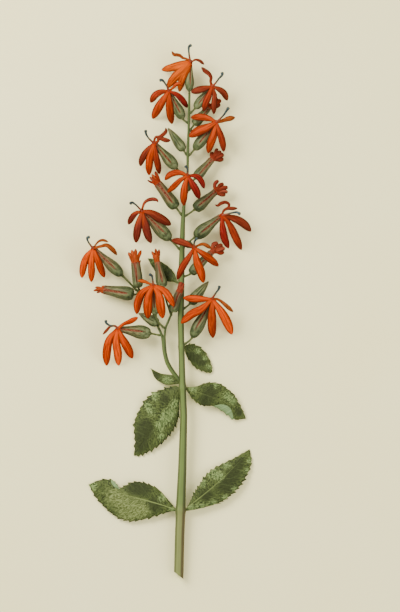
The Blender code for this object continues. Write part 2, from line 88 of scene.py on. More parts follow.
def new_finish(name):
    """A material with only its surface shader, and that shader."""
    finish = bpy.data.materials.new(name)
    finish.use_nodes = True
    return finish, finish.node_tree, finish.node_tree.nodes["Principled BSDF"]


def add_object(name, data):
    """A new object in the scene."""
    made = bpy.data.objects.new(name, data)
    bpy.context.collection.objects.link(made)
    return made


# Painted board: smooth, matt, and even apart from faint clouds about 11 cm across in its colour
board_finish, tree, shader = new_finish("painted_board")
here = add_node(tree, "ShaderNodeTexCoord").outputs["Object"]
clouds = add_node(tree, "ShaderNodeTexNoise", {"Vector": here, "Scale": 9.0, "Detail": 3.0}).outputs["Fac"]
cream = add_node(
    tree, "ShaderNodeMix", {0: clouds, 6: linear("FFF9C2"), 7: linear("FEF5B4")}, data_type="RGBA").outputs[2]
tree.links.new(cream, shader.inputs["Base Color"])
shader.inputs["Roughness"].default_value = 0.9

bpy.ops.mesh.primitive_plane_add(size=BOARD_SIZE)
board = bpy.context.object
board.name = "board"
board.data.materials.append(board_finish)

world = bpy.data.worlds.new("soft_surround")
bpy.context.scene.world = world
world.use_nodes = True
surround = world.node_tree.nodes["Background"]
surround.inputs["Color"].default_value = linear("FFFDF6")
surround.inputs["Strength"].default_value = 0.95

for name, place, size, watts in LAMPS:
    lamp_data = bpy.data.lights.new(name, "AREA")
    lamp_data.energy = watts
    lamp_data.size = size
    lamp_data.color = linear("FFFAF0")[:3]
    lamp = add_object(name, lamp_data)
    lamp.location = place
    lamp.rotation_euler = (-lamp.location).to_track_quat("-Z", "Y").to_euler()

camera_data = bpy.data.cameras.new("camera")
camera_data.type = "ORTHO"
camera_data.ortho_scale = VIEW_LONG_SIDE
camera = add_object("camera", camera_data)
camera.location = in_frame(VIEW_MIDDLE)
camera.location.z = CAMERA_HEIGHT
bpy.context.scene.camera = camera


# Stem and side branch
# The stem is a firm green stalk with blunt ribs, swollen where leaves join it, and cut through at its
# foot with a slanted knife cut that shows pale pith. The side branch grows from it and forks once.

# The lines of the stem and the side branch: x, y and radius of the stem, and x, y, height and radius of the
# others. At a node, where a leaf joins, the stem is thicker by the second number over the reach of the third
STEM_END_HEIGHT = 3.75
STEM_RISE = 8.0
STEM_RISE_LENGTH = 150.0
STEM_LINE = [
    (-2.0, -6, 3.7), (-1.2, 30, 3.7), (-0.2, 58, 3.7), (1.0, 87, 3.3), (1.9, 118, 2.9), (2.2, 130, 2.7),
    (1.1, 155, 2.6), (0.6, 174, 2.4), (-0.2, 206, 2.4), (0.4, 245, 2.4), (1.4, 283, 1.8), (2.2, 296, 1.3),
    (5.3, 324, 0.9), (5.4, 340, 1.1), (6.1, 358, 1.0), (6.7, 387, 0.9),
]
STEM_NODES = [(54.2, 0.5, 2.6), (152.0, 0.5, 2.4), (184.8, 0.3, 2.0)]
STEM_STEP = 0.6
BRANCH_LINE = [
    (-1.4, 158.2, 8.6, 1.5), (-3.4, 160.8, 9.4, 1.6), (-6.8, 165, 9.4, 1.8), (-11.0, 172.4, 9.4, 1.8),
    (-13.2, 181, 9.2, 1.7), (-14.2, 189, 8.8, 1.5), (-15.6, 194.6, 8.0, 1.1), (-18.0, 200, 5.8, 1.0),
    (-20.8, 206, 4.2, 0.9), (-23.2, 215, 4.4, 0.9), (-25.8, 223.4, 5.6, 0.9), (-29.2, 227.6, 7.0, 0.9),
    (-33.6, 228.8, 8.4, 1.0),
]
FORK_LINE = [
    (-12.6, 181, 9.0, 1.2), (-13.4, 187.5, 9.2, 1.4), (-13.2, 194, 9.6, 1.0), (-12.3, 200, 10.0, 0.9),
    (-10.2, 205.4, 10.3, 0.9), (-8.0, 210.6, 10.8, 0.9),
]
STRAND_ROWS = 120
SAME_PLACE = 1e-6

# The knife cut, in degrees from straight across, and a point of it
CUT_SLANT = 38.5
STEM_FOOT = Vector((-1.8, 2.0, 0.0))

# A stalk counts as slender below the first radius, and fully once it is smaller by the second
SLENDER_BELOW = 2.6
SLENDER_SPAN = 1.2

# Where the stem starts to turn brown towards its foot, and where it is brown, in metres along the frame
BROWN_FOOT = (-0.150, -0.165)

# The kinds of attribute that hold one, three or four numbers at each point
MARK_KINDS = {1: ("FLOAT", "value"), 3: ("FLOAT_VECTOR", "vector"), 4: ("FLOAT_COLOR", "color")}


def smooth_line(points, t):
    """A point of the smooth curve through the given points, for t from 0 to 1."""
    last = len(points) - 1
    place = min(max(t, 0.0), 1.0) * last
    i = min(int(place), last - 1)
    f = place - i
    p1, p2 = Vector(points[i]), Vector(points[i + 1])
    p0 = Vector(points[i - 1]) if i > 0 else 2 * p1 - p2
    p3 = Vector(points[i + 2]) if i + 2 <= last else 2 * p2 - p1
    return 0.5 * (2 * p1 + (p2 - p0) * f + (2 * p0 - 5 * p1 + 4 * p2 - p3) * f * f
                  + (3 * p1 - p0 - 3 * p2 + p3) * f * f * f)


def profile_at(profile, t):
    """The value at t of a smooth profile given as (place, value) pairs."""
    places = [place for place, _ in profile]
    i = min(max(bisect(places, t) - 1, 0), len(profile) - 2)

    def slope(k):
        before, after = profile[max(k - 1, 0)], profile[min(k + 1, len(profile) - 1)]
        return (after[1] - before[1]) / (after[0] - before[0])

    (t0, v0), (t1, v1) = profile[i], profile[i + 1]
    f = min(max((t - t0) / (t1 - t0), 0.0), 1.0)
    bend0, bend1 = slope(i) * (t1 - t0), slope(i + 1) * (t1 - t0)
    return (v0 * (2 * f ** 3 - 3 * f ** 2 + 1) + bend0 * (f ** 3 - 2 * f ** 2 + f)
            + v1 * (3 * f ** 2 - 2 * f ** 3) + bend1 * (f ** 3 - f ** 2))


def stem_height(y):
    """Height of the stem's middle above the board."""
    return STEM_END_HEIGHT + STEM_RISE * (1 - math.exp(-max(y, 0.0) / STEM_RISE_LENGTH))


def stem_at(y):
    """The stem's middle point and its radius at y."""
    for (x0, y0, r0), (x1, y1, r1) in zip(STEM_LINE, STEM_LINE[1:]):
        if y <= y1:
            f = (y - y0) / (y1 - y0)
            return Vector((x0 + (x1 - x0) * f, y, stem_height(y))), r0 + (r1 - r0) * f
    x, _, r = STEM_LINE[-1]
    return Vector((x, y, stem_height(y))), r


def ribbed_stalk_tree(finish):
    """Geometry Nodes that skin a line of points with a round section that has blunt ribs."""
    tree = bpy.data.node_groups.new("ribbed_stalk", "GeometryNodeTree")
    face = tree.interface
    face.new_socket("Geometry", in_out="OUTPUT", socket_type="NodeSocketGeometry")
    face.new_socket("Geometry", in_out="INPUT", socket_type="NodeSocketGeometry")
    for name, default in (("Ribs", 5.0), ("Rib Depth", 0.04), ("Sides", 48)):
        kind = "NodeSocketInt" if isinstance(default, int) else "NodeSocketFloat"
        face.new_socket(name, in_out="INPUT", socket_type=kind).default_value = default
    given = add_node(tree, "NodeGroupInput").outputs
    line = add_node(tree, "GeometryNodeMeshToCurve", {"Mesh": given["Geometry"]})
    circle = add_node(tree, "GeometryNodeCurvePrimitiveCircle", {"Resolution": given["Sides"]})
    around = add_node(tree, "GeometryNodeSplineParameter").outputs["Factor"]
    turns = add_node(tree, "ShaderNodeMath", {0: around, 1: given["Ribs"]}, operation="MULTIPLY")
    angle = add_node(tree, "ShaderNodeMath", {0: turns.outputs[0], 1: math.tau}, operation="MULTIPLY")
    wave = add_node(tree, "ShaderNodeMath", {0: angle.outputs[0]}, operation="COSINE")
    swell = add_node(
        tree, "ShaderNodeMath", {0: wave.outputs[0], 1: given["Rib Depth"], 2: 1.0}, operation="MULTIPLY_ADD")
    where = add_node(tree, "GeometryNodeInputPosition")
    ribbed = add_node(
        tree, "ShaderNodeVectorMath", {0: where.outputs[0], "Scale": swell.outputs[0]}, operation="SCALE")
    section = add_node(
        tree, "GeometryNodeSetPosition", {"Geometry": circle.outputs[0], "Position": ribbed.outputs[0]})
    girth = add_node(tree, "GeometryNodeInputNamedAttribute", {"Name": "radius"}, data_type="FLOAT")
    skin = add_node(
        tree, "GeometryNodeCurveToMesh",
        {"Curve": line.outputs[0], "Profile Curve": section.outputs[0], "Scale": girth.outputs[0],
         "Fill Caps": True})
    whole = add_node(tree, "GeometryNodeRealizeInstances", {"Geometry": skin.outputs[0]})
    painted = add_node(tree, "GeometryNodeSetMaterial", {"Geometry": whole.outputs[0], "Material": finish})
    add_node(tree, "NodeGroupOutput", {"Geometry": painted.outputs[0]})
    return tree


def opened(mesh):
    """A mesh opened for changes."""
    work = bmesh.new()
    work.from_mesh(mesh)
    return work


def store_outwards(work, mesh):
    """Turn the faces of an opened mesh outwards, and store it."""
    bmesh.ops.recalc_face_normals(work, faces=work.faces)
    work.to_mesh(mesh)
    work.free()


def store_marks(mesh, marks):
    """Store a list of values for each name on a mesh's points, for its finish or its tree to read."""
    for name, values in marks.items():
        flat = isinstance(values[0], float)
        kind, key = MARK_KINDS[1 if flat else len(values[0])]
        attribute = mesh.attributes.new(name, kind, "POINT")
        attribute.data.foreach_set(key, values if flat else [part for value in values for part in value])


def grow_stalk(name, rows, tree, **sizes):
    """A stalk through rows of (place, radius), made by a tree of Geometry Nodes with its sizes set."""
    line = bpy.data.meshes.new(name)
    line.from_pydata([in_frame(place) for place, _ in rows], [(i, i + 1) for i in range(len(rows) - 1)], [])
    slender = [min(1.0, max(0.0, (SLENDER_BELOW - r) / SLENDER_SPAN)) for _, r in rows]
    store_marks(line, {"radius": [r * MM for _, r in rows], "slender": slender})
    stalk = add_object(name, line)
    grown = stalk.modifiers.new("grow", "NODES")
    grown.node_group = tree
    for item in tree.interface.items_tree:
        if item.name in sizes:
            grown[item.identifier] = sizes[item.name]
    bpy.context.view_layer.update()
    made = bpy.data.meshes.new_from_object(stalk.evaluated_get(bpy.context.evaluated_depsgraph_get()))
    stalk.modifiers.clear()
    stalk.data = made
    made.name = name
    work = opened(made)
    bmesh.ops.remove_doubles(work, verts=work.verts, dist=SAME_PLACE)
    store_outwards(work, made)
    made.shade_smooth()
    # How far each point faces right, which sets where the stem's painted shade falls
    store_marks(made, {"facing": [normal.vector.x for normal in made.vertex_normals]})
    return stalk


def lay_over(tree, under, over, where, low, high, most=1.0, plus=(), times=None):
    """The colour over laid on the colour under: none where a value is low, and most of it where it is high.

    plus holds (value, share) pairs that are added to the value, and times is a value that thins the layer.
    """
    under, over = (linear(colour) if isinstance(colour, str) else colour for colour in (under, over))
    for value, share in plus:
        added = add_node(tree, "ShaderNodeMath", {0: value, 1: share, 2: where}, operation="MULTIPLY_ADD")
        where = added.outputs[0]
    cover = add_node(
        tree, "ShaderNodeMapRange", {"Value": where, "From Min": low, "From Max": high, "To Max": most},
        interpolation_type="SMOOTHSTEP").outputs["Result"]
    if times is not None:
        cover = add_node(tree, "ShaderNodeMath", {0: cover, 1: times}, operation="MULTIPLY").outputs[0]
    return add_node(tree, "ShaderNodeMix", {0: cover, 6: under, 7: over}, data_type="RGBA").outputs[2]


def finish_surface(tree, shader, colour, roughness, specular, *reliefs):
    """Give the shader its colour, its gloss, and reliefs of (height, strength, metres) one over another."""
    tree.links.new(colour, shader.inputs["Base Color"])
    shader.inputs["Roughness"].default_value = roughness
    shader.inputs["Specular IOR Level"].default_value = specular
    below = {}
    for height, strength, metres in reliefs:
        bump = add_node(
            tree, "ShaderNodeBump", {"Height": height, "Strength": strength, "Distance": metres, **below})
        below = {"Normal": bump.outputs[0]}
    tree.links.new(bump.outputs[0], shader.inputs["Normal"])


# Fresh stem skin: waxy green with streaks 1 mm wide and blotches of 8 mm. It is palest left of its middle,
# as if lit from the left, with painted shade where it turns away to the right and a thinner painted shade
# along its left edge. It is browner at its foot, and a deeper green where a stalk is thin
stem_finish, tree, shader = new_finish("fresh_stem_skin")
here = add_node(tree, "ShaderNodeTexCoord").outputs["Object"]
along_stem = add_node(tree, "ShaderNodeSeparateXYZ", {"Vector": here}).outputs["Y"]
facing, slender = (
    add_node(tree, "ShaderNodeAttribute", attribute_name=name).outputs["Fac"]
    for name in ("facing", "slender"))
stretched = add_node(tree, "ShaderNodeMapping", {"Vector": here, "Scale": (1100.0, 60.0, 1100.0)})
streaks = add_node(
    tree, "ShaderNodeTexNoise", {"Vector": stretched.outputs[0], "Scale": 1.0, "Detail": 4.0}).outputs["Fac"]
blotches = add_node(
    tree, "ShaderNodeTexNoise", {"Vector": here, "Scale": 120.0, "Detail": 3.0}).outputs["Fac"]
# The stem's green, and a darker copy of it for the painted shade, both browner towards the foot
light = lay_over(tree, "607338", "747B45", along_stem, *BROWN_FOOT)
shade = lay_over(tree, "39411F", "42381B", along_stem, *BROWN_FOOT)
green = lay_over(tree, light, "556232", blotches, 0.5, 0.75, 0.3)
# Painted shade where the stem turns away to the right, and a thinner painted shade along its left edge
green = lay_over(tree, green, shade, facing, 0.02, 0.76, 0.94, [(streaks, 0.35)])
green = lay_over(tree, green, "3E4726", facing, -0.30, -0.70, 0.8, [(streaks, 0.35)])
thin = add_node(tree, "ShaderNodeMath", {0: slender, 1: 0.7}, operation="MULTIPLY").outputs[0]
green = add_node(tree, "ShaderNodeMix", {0: thin, 6: green, 7: linear("3A4722")}, data_type="RGBA").outputs[2]
finish_surface(tree, shader, green, 0.55, 0.25, (streaks, 0.5, 0.00012))

# Cut pith: moist and pale green
pith_finish, tree, shader = new_finish("cut_pith")
shader.inputs["Base Color"].default_value = linear("B1C654")
shader.inputs["Roughness"].default_value = 0.6

stalk_tree = ribbed_stalk_tree(stem_finish)
stem_rows = []
first, last = STEM_LINE[0][1], STEM_LINE[-1][1]
count = int((last - first) / STEM_STEP)
for i in range(count + 1):
    place, radius = stem_at(first + (last - first) * i / count)
    for y, extra, reach in STEM_NODES:
        radius += extra * math.exp(-((place.y - y) / reach) ** 2)
    stem_rows.append((place, radius))
stem = grow_stalk("stem_skin", stem_rows, stalk_tree, **{"Ribs": 6.0, "Rib Depth": 0.035, "Sides": 60})
stem.data.materials.append(pith_finish)
slant = math.radians(CUT_SLANT)
work = opened(stem.data)
cut = bmesh.ops.bisect_plane(
    work, geom=work.verts[:] + work.edges[:] + work.faces[:], plane_co=in_frame(STEM_FOOT),
    plane_no=Vector((math.sin(slant), math.cos(slant), 0.0)), clear_inner=True)
rim = [item for item in cut["geom_cut"] if isinstance(item, bmesh.types.BMEdge)]
for face in bmesh.ops.contextual_create(work, geom=rim)["faces"]:
    face.material_index = 1
    face.smooth = False
store_outwards(work, stem.data)
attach(stem, "root")
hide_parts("stem")

for name, line in (("side_branch_skin", BRANCH_LINE), ("side_branch_fork", FORK_LINE)):
    rows = []
    for i in range(STRAND_ROWS + 1):
        x, y, z, radius = smooth_line(line, i / STRAND_ROWS)
        rows.append((Vector((x, y, z)), radius))
    strand = grow_stalk(name, rows, stalk_tree, **{"Ribs": 3.0, "Rib Depth": 0.05, "Sides": 28})
    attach(strand, "root")
    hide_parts("side_branch")


# Leaves
# Thin, soft blades with a channelled midrib and forward-pointing teeth. Each is held by its base at a joint
# of the stem and lies out on the board, a little arched along its middle. Two have part of an edge turned
# over.

# The midrib and both edges run from a leaf's base to its tip. A cloud of colour is its kind, place and reach:
# a pale cloud is a painted highlight, a deep one painted shade, and a warm one yellowing.
# A flap is the side whose edge is turned over, and how far out from the midrib that edge then lies along it
Blade = namedtuple("Blade", "midrib left right root_z tip_z arch teeth rib clouds flap")
BLADES = {
    "leaf_lower_left": Blade(
        [(-2.4, 54.2), (-16.8, 58.8), (-28.8, 62.4), (-40.8, 65.8), (-58.4, 72.4), (-74.0, 74.8)],
        [(-4.0, 55.0), (-8.2, 60.2), (-17.4, 70.4), (-25.5, 74.6), (-32.0, 76.6), (-37.8, 76.6),
         (-45.0, 73.5), (-48.8, 71.4), (-51.2, 74.4), (-55.1, 78.1), (-64.3, 78.4), (-74.0, 74.8)],
        [(-4.0, 53.6), (-8.2, 53.1), (-17.4, 51.0), (-30.4, 47.0), (-40.8, 45.9), (-51.0, 49.0),
         (-60.2, 56.2), (-68.4, 65.4), (-74.0, 74.8)],
        5.6, 0.5, 2.0, 1.5, 1.0,
        [("warm", -54, 66, 9), ("warm", -42, 58, 10), ("warm", -30, 54, 8), ("warm", -43, 50, 6),
         ("deep", -21, 58, 7), ("deep", -38, 72, 7), ("deep", -29, 72, 6), ("pale", -71, 74, 5),
         ("pale", -15, 65, 4), ("pale", -7, 53.5, 3)],
        (-1, [(0.645, 1.0), (0.68, 0.60), (0.74, 0.38), (0.80, 0.62), (0.835, 1.0)])),
    "leaf_lower_right": Blade(
        [(2.4, 54.2), (13.6, 63.2), (27.2, 74.4), (43.2, 89.6), (55.0, 103.1)],
        [(4.0, 55.2), (7.2, 61.0), (10.8, 67.6), (15.0, 74.4), (21.4, 83.2), (30.6, 89.8), (42.8, 95.9),
         (55.0, 103.1)],
        [(4.0, 53.6), (13.3, 55.1), (27.5, 59.2), (34.8, 62.8), (41.8, 68.4), (47.9, 75.5), (53.0, 83.7),
         (56.1, 92.9), (55.0, 103.1)],
        5.6, 0.5, 3.0, 1.8, 0.9,
        [("pale", 25, 84, 4.5), ("pale", 36, 90.5, 4), ("pale", 31, 81, 4), ("pale", 18, 75, 3.5),
         ("pale", 9, 55.5, 4), ("pale", 17, 57.2, 4), ("pale", 26, 60, 4), ("pale", 35, 64.6, 3.5),
         ("pale", 43, 71.2, 3), ("pale", 53.2, 86, 3), ("pale", 55, 94, 2.5), ("deep", 47, 92, 5),
         ("deep", 36, 73, 8), ("deep", 20, 66, 6), ("deep", 42, 83, 6)],
        None),
    "leaf_middle_left": Blade(
        [(0.0, 152.0), (-8.8, 140.8), (-18.6, 125.0), (-28.8, 110.4), (-37.7, 97.8)],
        [(-1.2, 152.3), (-4.8, 153.6), (-10.9, 151.7), (-20.1, 148.6), (-27.0, 143.3), (-32.3, 135.7),
         (-36.2, 127.2), (-37.3, 118.1), (-36.5, 108.1), (-37.7, 97.8)],
        [(-1.1, 150.7), (-1.2, 140.8), (-2.0, 129.5), (-4.8, 121.8), (-9.4, 115.0), (-15.4, 108.1),
         (-23.9, 102.7), (-30.8, 99.3), (-37.7, 97.8)],
        7.0, 0.5, 1.0, 2.3, 0.12,
        [("pale", -21, 146, 4.5), ("pale", -24, 134, 4), ("pale", -13, 128, 6), ("pale", -17, 122, 4.5),
         ("pale", -8, 131, 5), ("pale", -4, 140, 4.5), ("pale", -28, 139, 3), ("pale", -16, 113, 4),
         ("deep", -33, 107, 9), ("deep", -13, 143, 5), ("deep", -28, 121, 8)],
        None),
    "leaf_middle_right": Blade(
        [(2.8, 151.8), (12.0, 149.2), (23.2, 145.3), (36.0, 140.8), (45.6, 133.6), (52.0, 127.5)],
        [(4.0, 152.5), (12.1, 153.3), (18.2, 155.5), (25.1, 156.3), (32.0, 154.8), (37.4, 151.0),
         (42.7, 146.3), (45.8, 140.2), (49.6, 133.4), (52.0, 127.5)],
        [(4.0, 151.2), (5.9, 147.9), (12.1, 141.0), (18.2, 137.9), (25.8, 137.5), (34.4, 132.8),
         (42.7, 127.0), (52.0, 127.5)],
        7.0, 1.0, 3.0, 1.2, 0.5,
        [("pale", 37, 145.5, 4.5), ("pale", 42, 141.5, 3.5), ("pale", 9, 151.5, 4), ("pale", 28, 154.5, 3),
         ("deep", 24, 149.5, 6), ("deep", 19, 141, 6), ("deep", 46, 133, 4)],
        (1, [(0.57, 1.0), (0.60, 0.46), (0.66, 0.26), (0.72, 0.30), (0.79, 0.58), (0.86, 1.0)])),
    "leaf_small_left": Blade(
        [(0.0, 156.0), (-7.2, 158.8), (-14.8, 160.4), (-20.8, 164.0), (-24.8, 168.2)],
        [(-1.4, 156.5), (-2.4, 159.4), (-6.8, 162.2), (-11.5, 163.0), (-16.0, 163.6), (-20.8, 165.9),
         (-24.8, 168.2)],
        [(-1.4, 155.4), (-6.8, 154.8), (-12.8, 154.9), (-18.8, 157.9), (-21.8, 161.4), (-23.4, 165.6),
         (-24.8, 168.2)],
        6.3, 1.0, 0.5, 0.0, 0.15,
        [("pale", -11, 157.6, 5), ("warm", -25, 168, 3), ("deep", -20, 162, 4)],
        None),
    "leaf_small_right": Blade(
        [(1.6, 185.0), (7.2, 183.2), (14.4, 176.4), (20.8, 169.2), (25.1, 164.7)],
        [(2.8, 185.6), (5.2, 186.7), (9.0, 186.9), (15.1, 184.6), (20.5, 178.5), (24.0, 171.2),
         (25.1, 164.7)],
        [(2.8, 184.3), (3.7, 179.3), (8.2, 172.4), (12.1, 168.2), (16.6, 166.2), (21.3, 164.5),
         (25.1, 164.7)],
        6.0, 1.0, 1.0, 1.2, 0.2,
        [("pale", 13, 182, 3), ("pale", 19.5, 175.5, 2.5), ("pale", 22, 169, 2.5), ("deep", 10, 177, 6),
         ("deep", 17, 173, 4)],
        None),
    "leaf_bract": Blade(
        [(-1.4, 236.0), (-10.4, 242.4), (-19.2, 250.4), (-26.7, 255.8)],
        [(-2.7, 235.5), (-6.4, 237.0), (-11.0, 237.5), (-16.8, 240.8), (-22.0, 247.5), (-25.3, 253.1),
         (-26.7, 255.8)],
        [(-2.6, 236.5), (-4.3, 241.2), (-6.2, 244.6), (-8.8, 247.8), (-13.3, 251.3), (-17.7, 253.9),
         (-22.2, 255.3), (-26.7, 255.8)],
        7.2, 1.0, -2.0, 0.3, 0.4,
        [("deep", -10, 243, 5), ("pale", -22, 254, 3)],
        None),
}
LEAF_ROWS = 240
LEAF_HALF_COLUMNS = 13
LEAF_THICKNESS = 0.5
BOARD_GAP = 0.05

# The saw edge, in millimetres: the teeth differ in depth, and start a little way from the leaf's base
TOOTH_LENGTH = 4.6
TOOTH_COUNT = 29
TOOTH_DEPTHS = (0.45, 1.25)
TEETH_FROM = 0.14
EDGE_STRETCH = 1.12

# Veins and midrib, sunk in both faces. A vein's width is a share of the veins' spacing
VEIN_SPACING = 7.5
VEIN_SLANT = 0.0075
VEIN_WIDTH = 0.07
VEIN_DEPTH = 0.10
RIB_HALF_WIDTH = 0.42
RIB_DEPTH = 0.30
BLADE_LENGTH = 75.0

# How far a blade's sides fall, as a share of its half width, and how high its edges wave
SIDE_FALL = 0.12
EDGE_WAVE = 0.35

# An edge that is turned over lies just clear of the blade and puffs up along its middle
FLAP_ROWS = 40
FLAP_COLUMNS = 8
FLAP_PUFF = 0.75
FLAP_HALF_THICKNESS = 0.22
FLAP_CLEAR = 0.12
FLAP_HIDDEN_AT = 0.6


class Shape:
    """Rings of points that become one mesh, with what its finish reads at each point."""

    def __init__(self):
        self.points = []
        self.faces = []
        self.marks = {}

    def loft(self, rings, marks):
        """Skin rings of points and close both ends. marks holds a list of values for each name."""
        start, count = len(self.points), len(rings[0])
        last = start + (len(rings) - 1) * count
        for ring in rings:
            self.points += ring
        for low in range(start, last, count):
            high = low + count
            for j in range(count):
                k = (j + 1) % count
                self.faces.append((low + j, low + k, high + k, high + j))
        self.faces.append(tuple(range(start + count - 1, start - 1, -1)))
        self.faces.append(tuple(range(last, last + count)))
        for name, values in marks.items():
            self.marks.setdefault(name, []).extend(values)


def make_piece(name, shape, finish, node):
    """A piece from a shape, with its marks and finish, that stands for a CAD node."""
    mesh = bpy.data.meshes.new(name)
    mesh.from_pydata([in_frame(point) for point in shape.points], [], shape.faces)
    mesh.materials.append(finish)
    store_marks(mesh, shape.marks)
    store_outwards(opened(mesh), mesh)
    mesh.shade_smooth()
    piece = add_object(name, mesh)
    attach(piece, "root")
    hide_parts(node)


def note(marks, **values):
    """Add one point's values to the lists of marks."""
    for name, value in values.items():
        marks.setdefault(name, []).append(value)


def both_faces(columns):
    """The columns of a closed ring around a blade: over its upper face, with 1, and back below, with -1."""
    return [(1, v) for v in columns] + [(-1, v) for v in columns[-2:0:-1]]


def tooth_at(reach, t, depths):
    """How far the saw edge stands out at a distance along it. The teeth point to the tip."""
    tooth, part = divmod(reach / TOOTH_LENGTH, 1.0)
    faded = min(1.0, max(0.0, t - TEETH_FROM) * 8, (1 - t) * 14)
    return depths[int(tooth) % len(depths)] * part ** 1.4 * faded


def blade_point(blade, t, v, depths):
    """A point of a blade's middle surface, and the half width there. v is -1 and 1 at its edges."""
    line = blade.right if v > 0 else blade.left
    middle, edge = smooth_line(blade.midrib, t), smooth_line(line, t)
    outward = edge - middle
    half = outward.length
    reach = t * (Vector(line[-1]) - Vector(line[0])).length * EDGE_STRETCH
    saw = blade.teeth * tooth_at(reach, t, depths) * abs(v) ** 6
    flat = middle + outward * abs(v) + (outward / half * saw if half > 0.01 else Vector((0, 0)))
    height = blade.root_z + (blade.tip_z - blade.root_z) * t + blade.arch * 4 * t * (1 - t)
    height += EDGE_WAVE * math.sin(9 * t + 2.2 * v) * v * v - SIDE_FALL * half * v * v
    return Vector((flat.x, flat.y, height)), half


def cloud_at(clouds, kind, place):
    """How strongly the clouds of one kind colour a place of a blade."""
    total = 0.0
    for what, x, y, reach in clouds:
        if what == kind:
            total += math.exp(-((place.x - x) ** 2 + (place.y - y) ** 2) / reach ** 2)
    return min(1.0, total)


def along_vein(t, v, half):
    """How far along the blade the vein that passes a point leaves the midrib."""
    return (t - VEIN_SLANT * abs(v) * half) * BLADE_LENGTH


def mark_blade(blade, marks, place, t, v, half, under, vein=0.0, rib=0.0):
    """Note what the leaf's finish reads at one point."""
    clouds = {kind: cloud_at(blade.clouds, kind, place) for kind in ("pale", "warm", "deep")}
    note(marks, strokes=(along_vein(t, v, half), v * half, 0.0), under=under, vein=vein, rib=rib, **clouds)


def blade_ring(blade, t, depths, marks):
    """The closed ring of points around a leaf blade at t along it, with its marks."""
    ring = []
    shown = blade.rib * (1 - t) ** 0.6
    columns = [k / LEAF_HALF_COLUMNS for k in range(-LEAF_HALF_COLUMNS, LEAF_HALF_COLUMNS + 1)]
    for face, v in both_faces(columns):
        place, half = blade_point(blade, t, v, depths)
        vein = along_vein(t, v, half) / VEIN_SPACING + 0.12 * math.sin(31 * t + 5 * v)
        near_vein = math.exp(-((vein - round(vein)) / VEIN_WIDTH) ** 2) * min(1.0, abs(v) * 4)
        near_rib = math.exp(-(v * half / RIB_HALF_WIDTH) ** 2)
        skin = LEAF_THICKNESS / 2 * math.sqrt(max(0.02, 1 - v * v))
        place.z += face * skin - VEIN_DEPTH * near_vein - RIB_DEPTH * near_rib
        place.z = max(place.z, BOARD_GAP + LEAF_THICKNESS / 2 * (face + 1))
        ring.append(place)
        mark_blade(blade, marks, place, t, v, half, 0.0 if face > 0 else 1.0, near_vein, near_rib * shown)
    return ring


def add_flap(shape, blade, depths):
    """The part of a blade's edge that is turned over onto its upper face and shows the underside."""
    side, free_edge = blade.flap
    first, last = free_edge[0][0], free_edge[-1][0]
    rings, marks = [], {}
    for i in range(FLAP_ROWS + 1):
        t = first + (last - first) * i / FLAP_ROWS
        inner = min(0.985, profile_at(free_edge, t))
        ring = []
        for face, f in both_faces([j / FLAP_COLUMNS for j in range(FLAP_COLUMNS + 1)]):
            place, half = blade_point(blade, t, side * (1.0 + (inner - 1.0) * f), depths)
            puff = FLAP_PUFF * math.sin(math.pi * min(1.0, f * 1.1)) * min(1.0, (1 - inner) * half / 3)
            skin = FLAP_HALF_THICKNESS * math.sqrt(max(0.05, 1 - (2 * f - 1) ** 2))
            place.z += LEAF_THICKNESS / 2 + FLAP_CLEAR + puff + face * skin
            ring.append(place)
            mark_blade(blade, marks, place, t, FLAP_HIDDEN_AT, half, 1.0 if face > 0 else 0.0)
        rings.append(ring)
    shape.loft(rings, marks)


# Leaf blade: a soft, faintly downy skin in strokes about 1.5 mm across. Dark olive, clouded over 4 mm with
# grey-green painted highlights and darker painted shade, yellower where it ages, with a thin pale midrib
# and a much paler underside
leaf_finish, tree, shader = new_finish("soft_leaf_skin")
here = add_node(tree, "ShaderNodeTexCoord").outputs["Object"]
strokes = add_node(tree, "ShaderNodeAttribute", attribute_name="strokes").outputs["Vector"]
faced, vein, rib, pale, warm, deep = (
    add_node(tree, "ShaderNodeAttribute", attribute_name=name).outputs["Fac"]
    for name in ("under", "vein", "rib", "pale", "warm", "deep"))
broad = add_node(
    tree, "ShaderNodeTexNoise",
    {"Vector": here, "Scale": 260.0, "Detail": 4.0, "Roughness": 0.6}).outputs["Fac"]
drawn = add_node(tree, "ShaderNodeMapping", {"Vector": strokes, "Scale": (0.80, 0.56, 1.0)})
specks = add_node(
    tree, "ShaderNodeTexNoise",
    {"Vector": drawn.outputs[0], "Scale": 1.0, "Detail": 5.0, "Roughness": 0.7,
     "Distortion": 0.9}).outputs["Fac"]
yellowed = lay_over(tree, "465220", "88945A", specks, 0.40, 0.60)
grey = lay_over(tree, "42562A", "869A5C", specks, 0.44, 0.60)
underside = lay_over(tree, "5C7446", "7E9668", specks, 0.36, 0.64)
olive = lay_over(tree, "1A2306", "4E5A2A", specks, 0.40, 0.60)
olive = lay_over(tree, olive, "4D5A2A", broad, 0.45, 0.65, 0.5)
olive = lay_over(tree, olive, yellowed, warm, 0.75, 1.85, 0.85, [(broad, 1.1)])
# Painted shade where the deep clouds lie, and grey-green painted highlights where the pale ones lie
olive = lay_over(tree, olive, "242B0E", deep, 0.6, 1.2, 0.75, [(broad, 0.7)])
olive = lay_over(tree, olive, grey, pale, 1.98, 2.70, 0.85, [(broad, 1.3), (specks, 2.0)])
olive = lay_over(tree, olive, "7A8C52", vein, 0.3, 1.0, 0.12)
olive = lay_over(tree, olive, "8A9A58", rib, 0.15, 0.9, 0.7)
olive = lay_over(tree, olive, underside, faced, 0.4, 0.6)
finish_surface(tree, shader, olive, 0.66, 0.2, (broad, 0.7, 0.0004), (specks, 0.5, 0.00012))

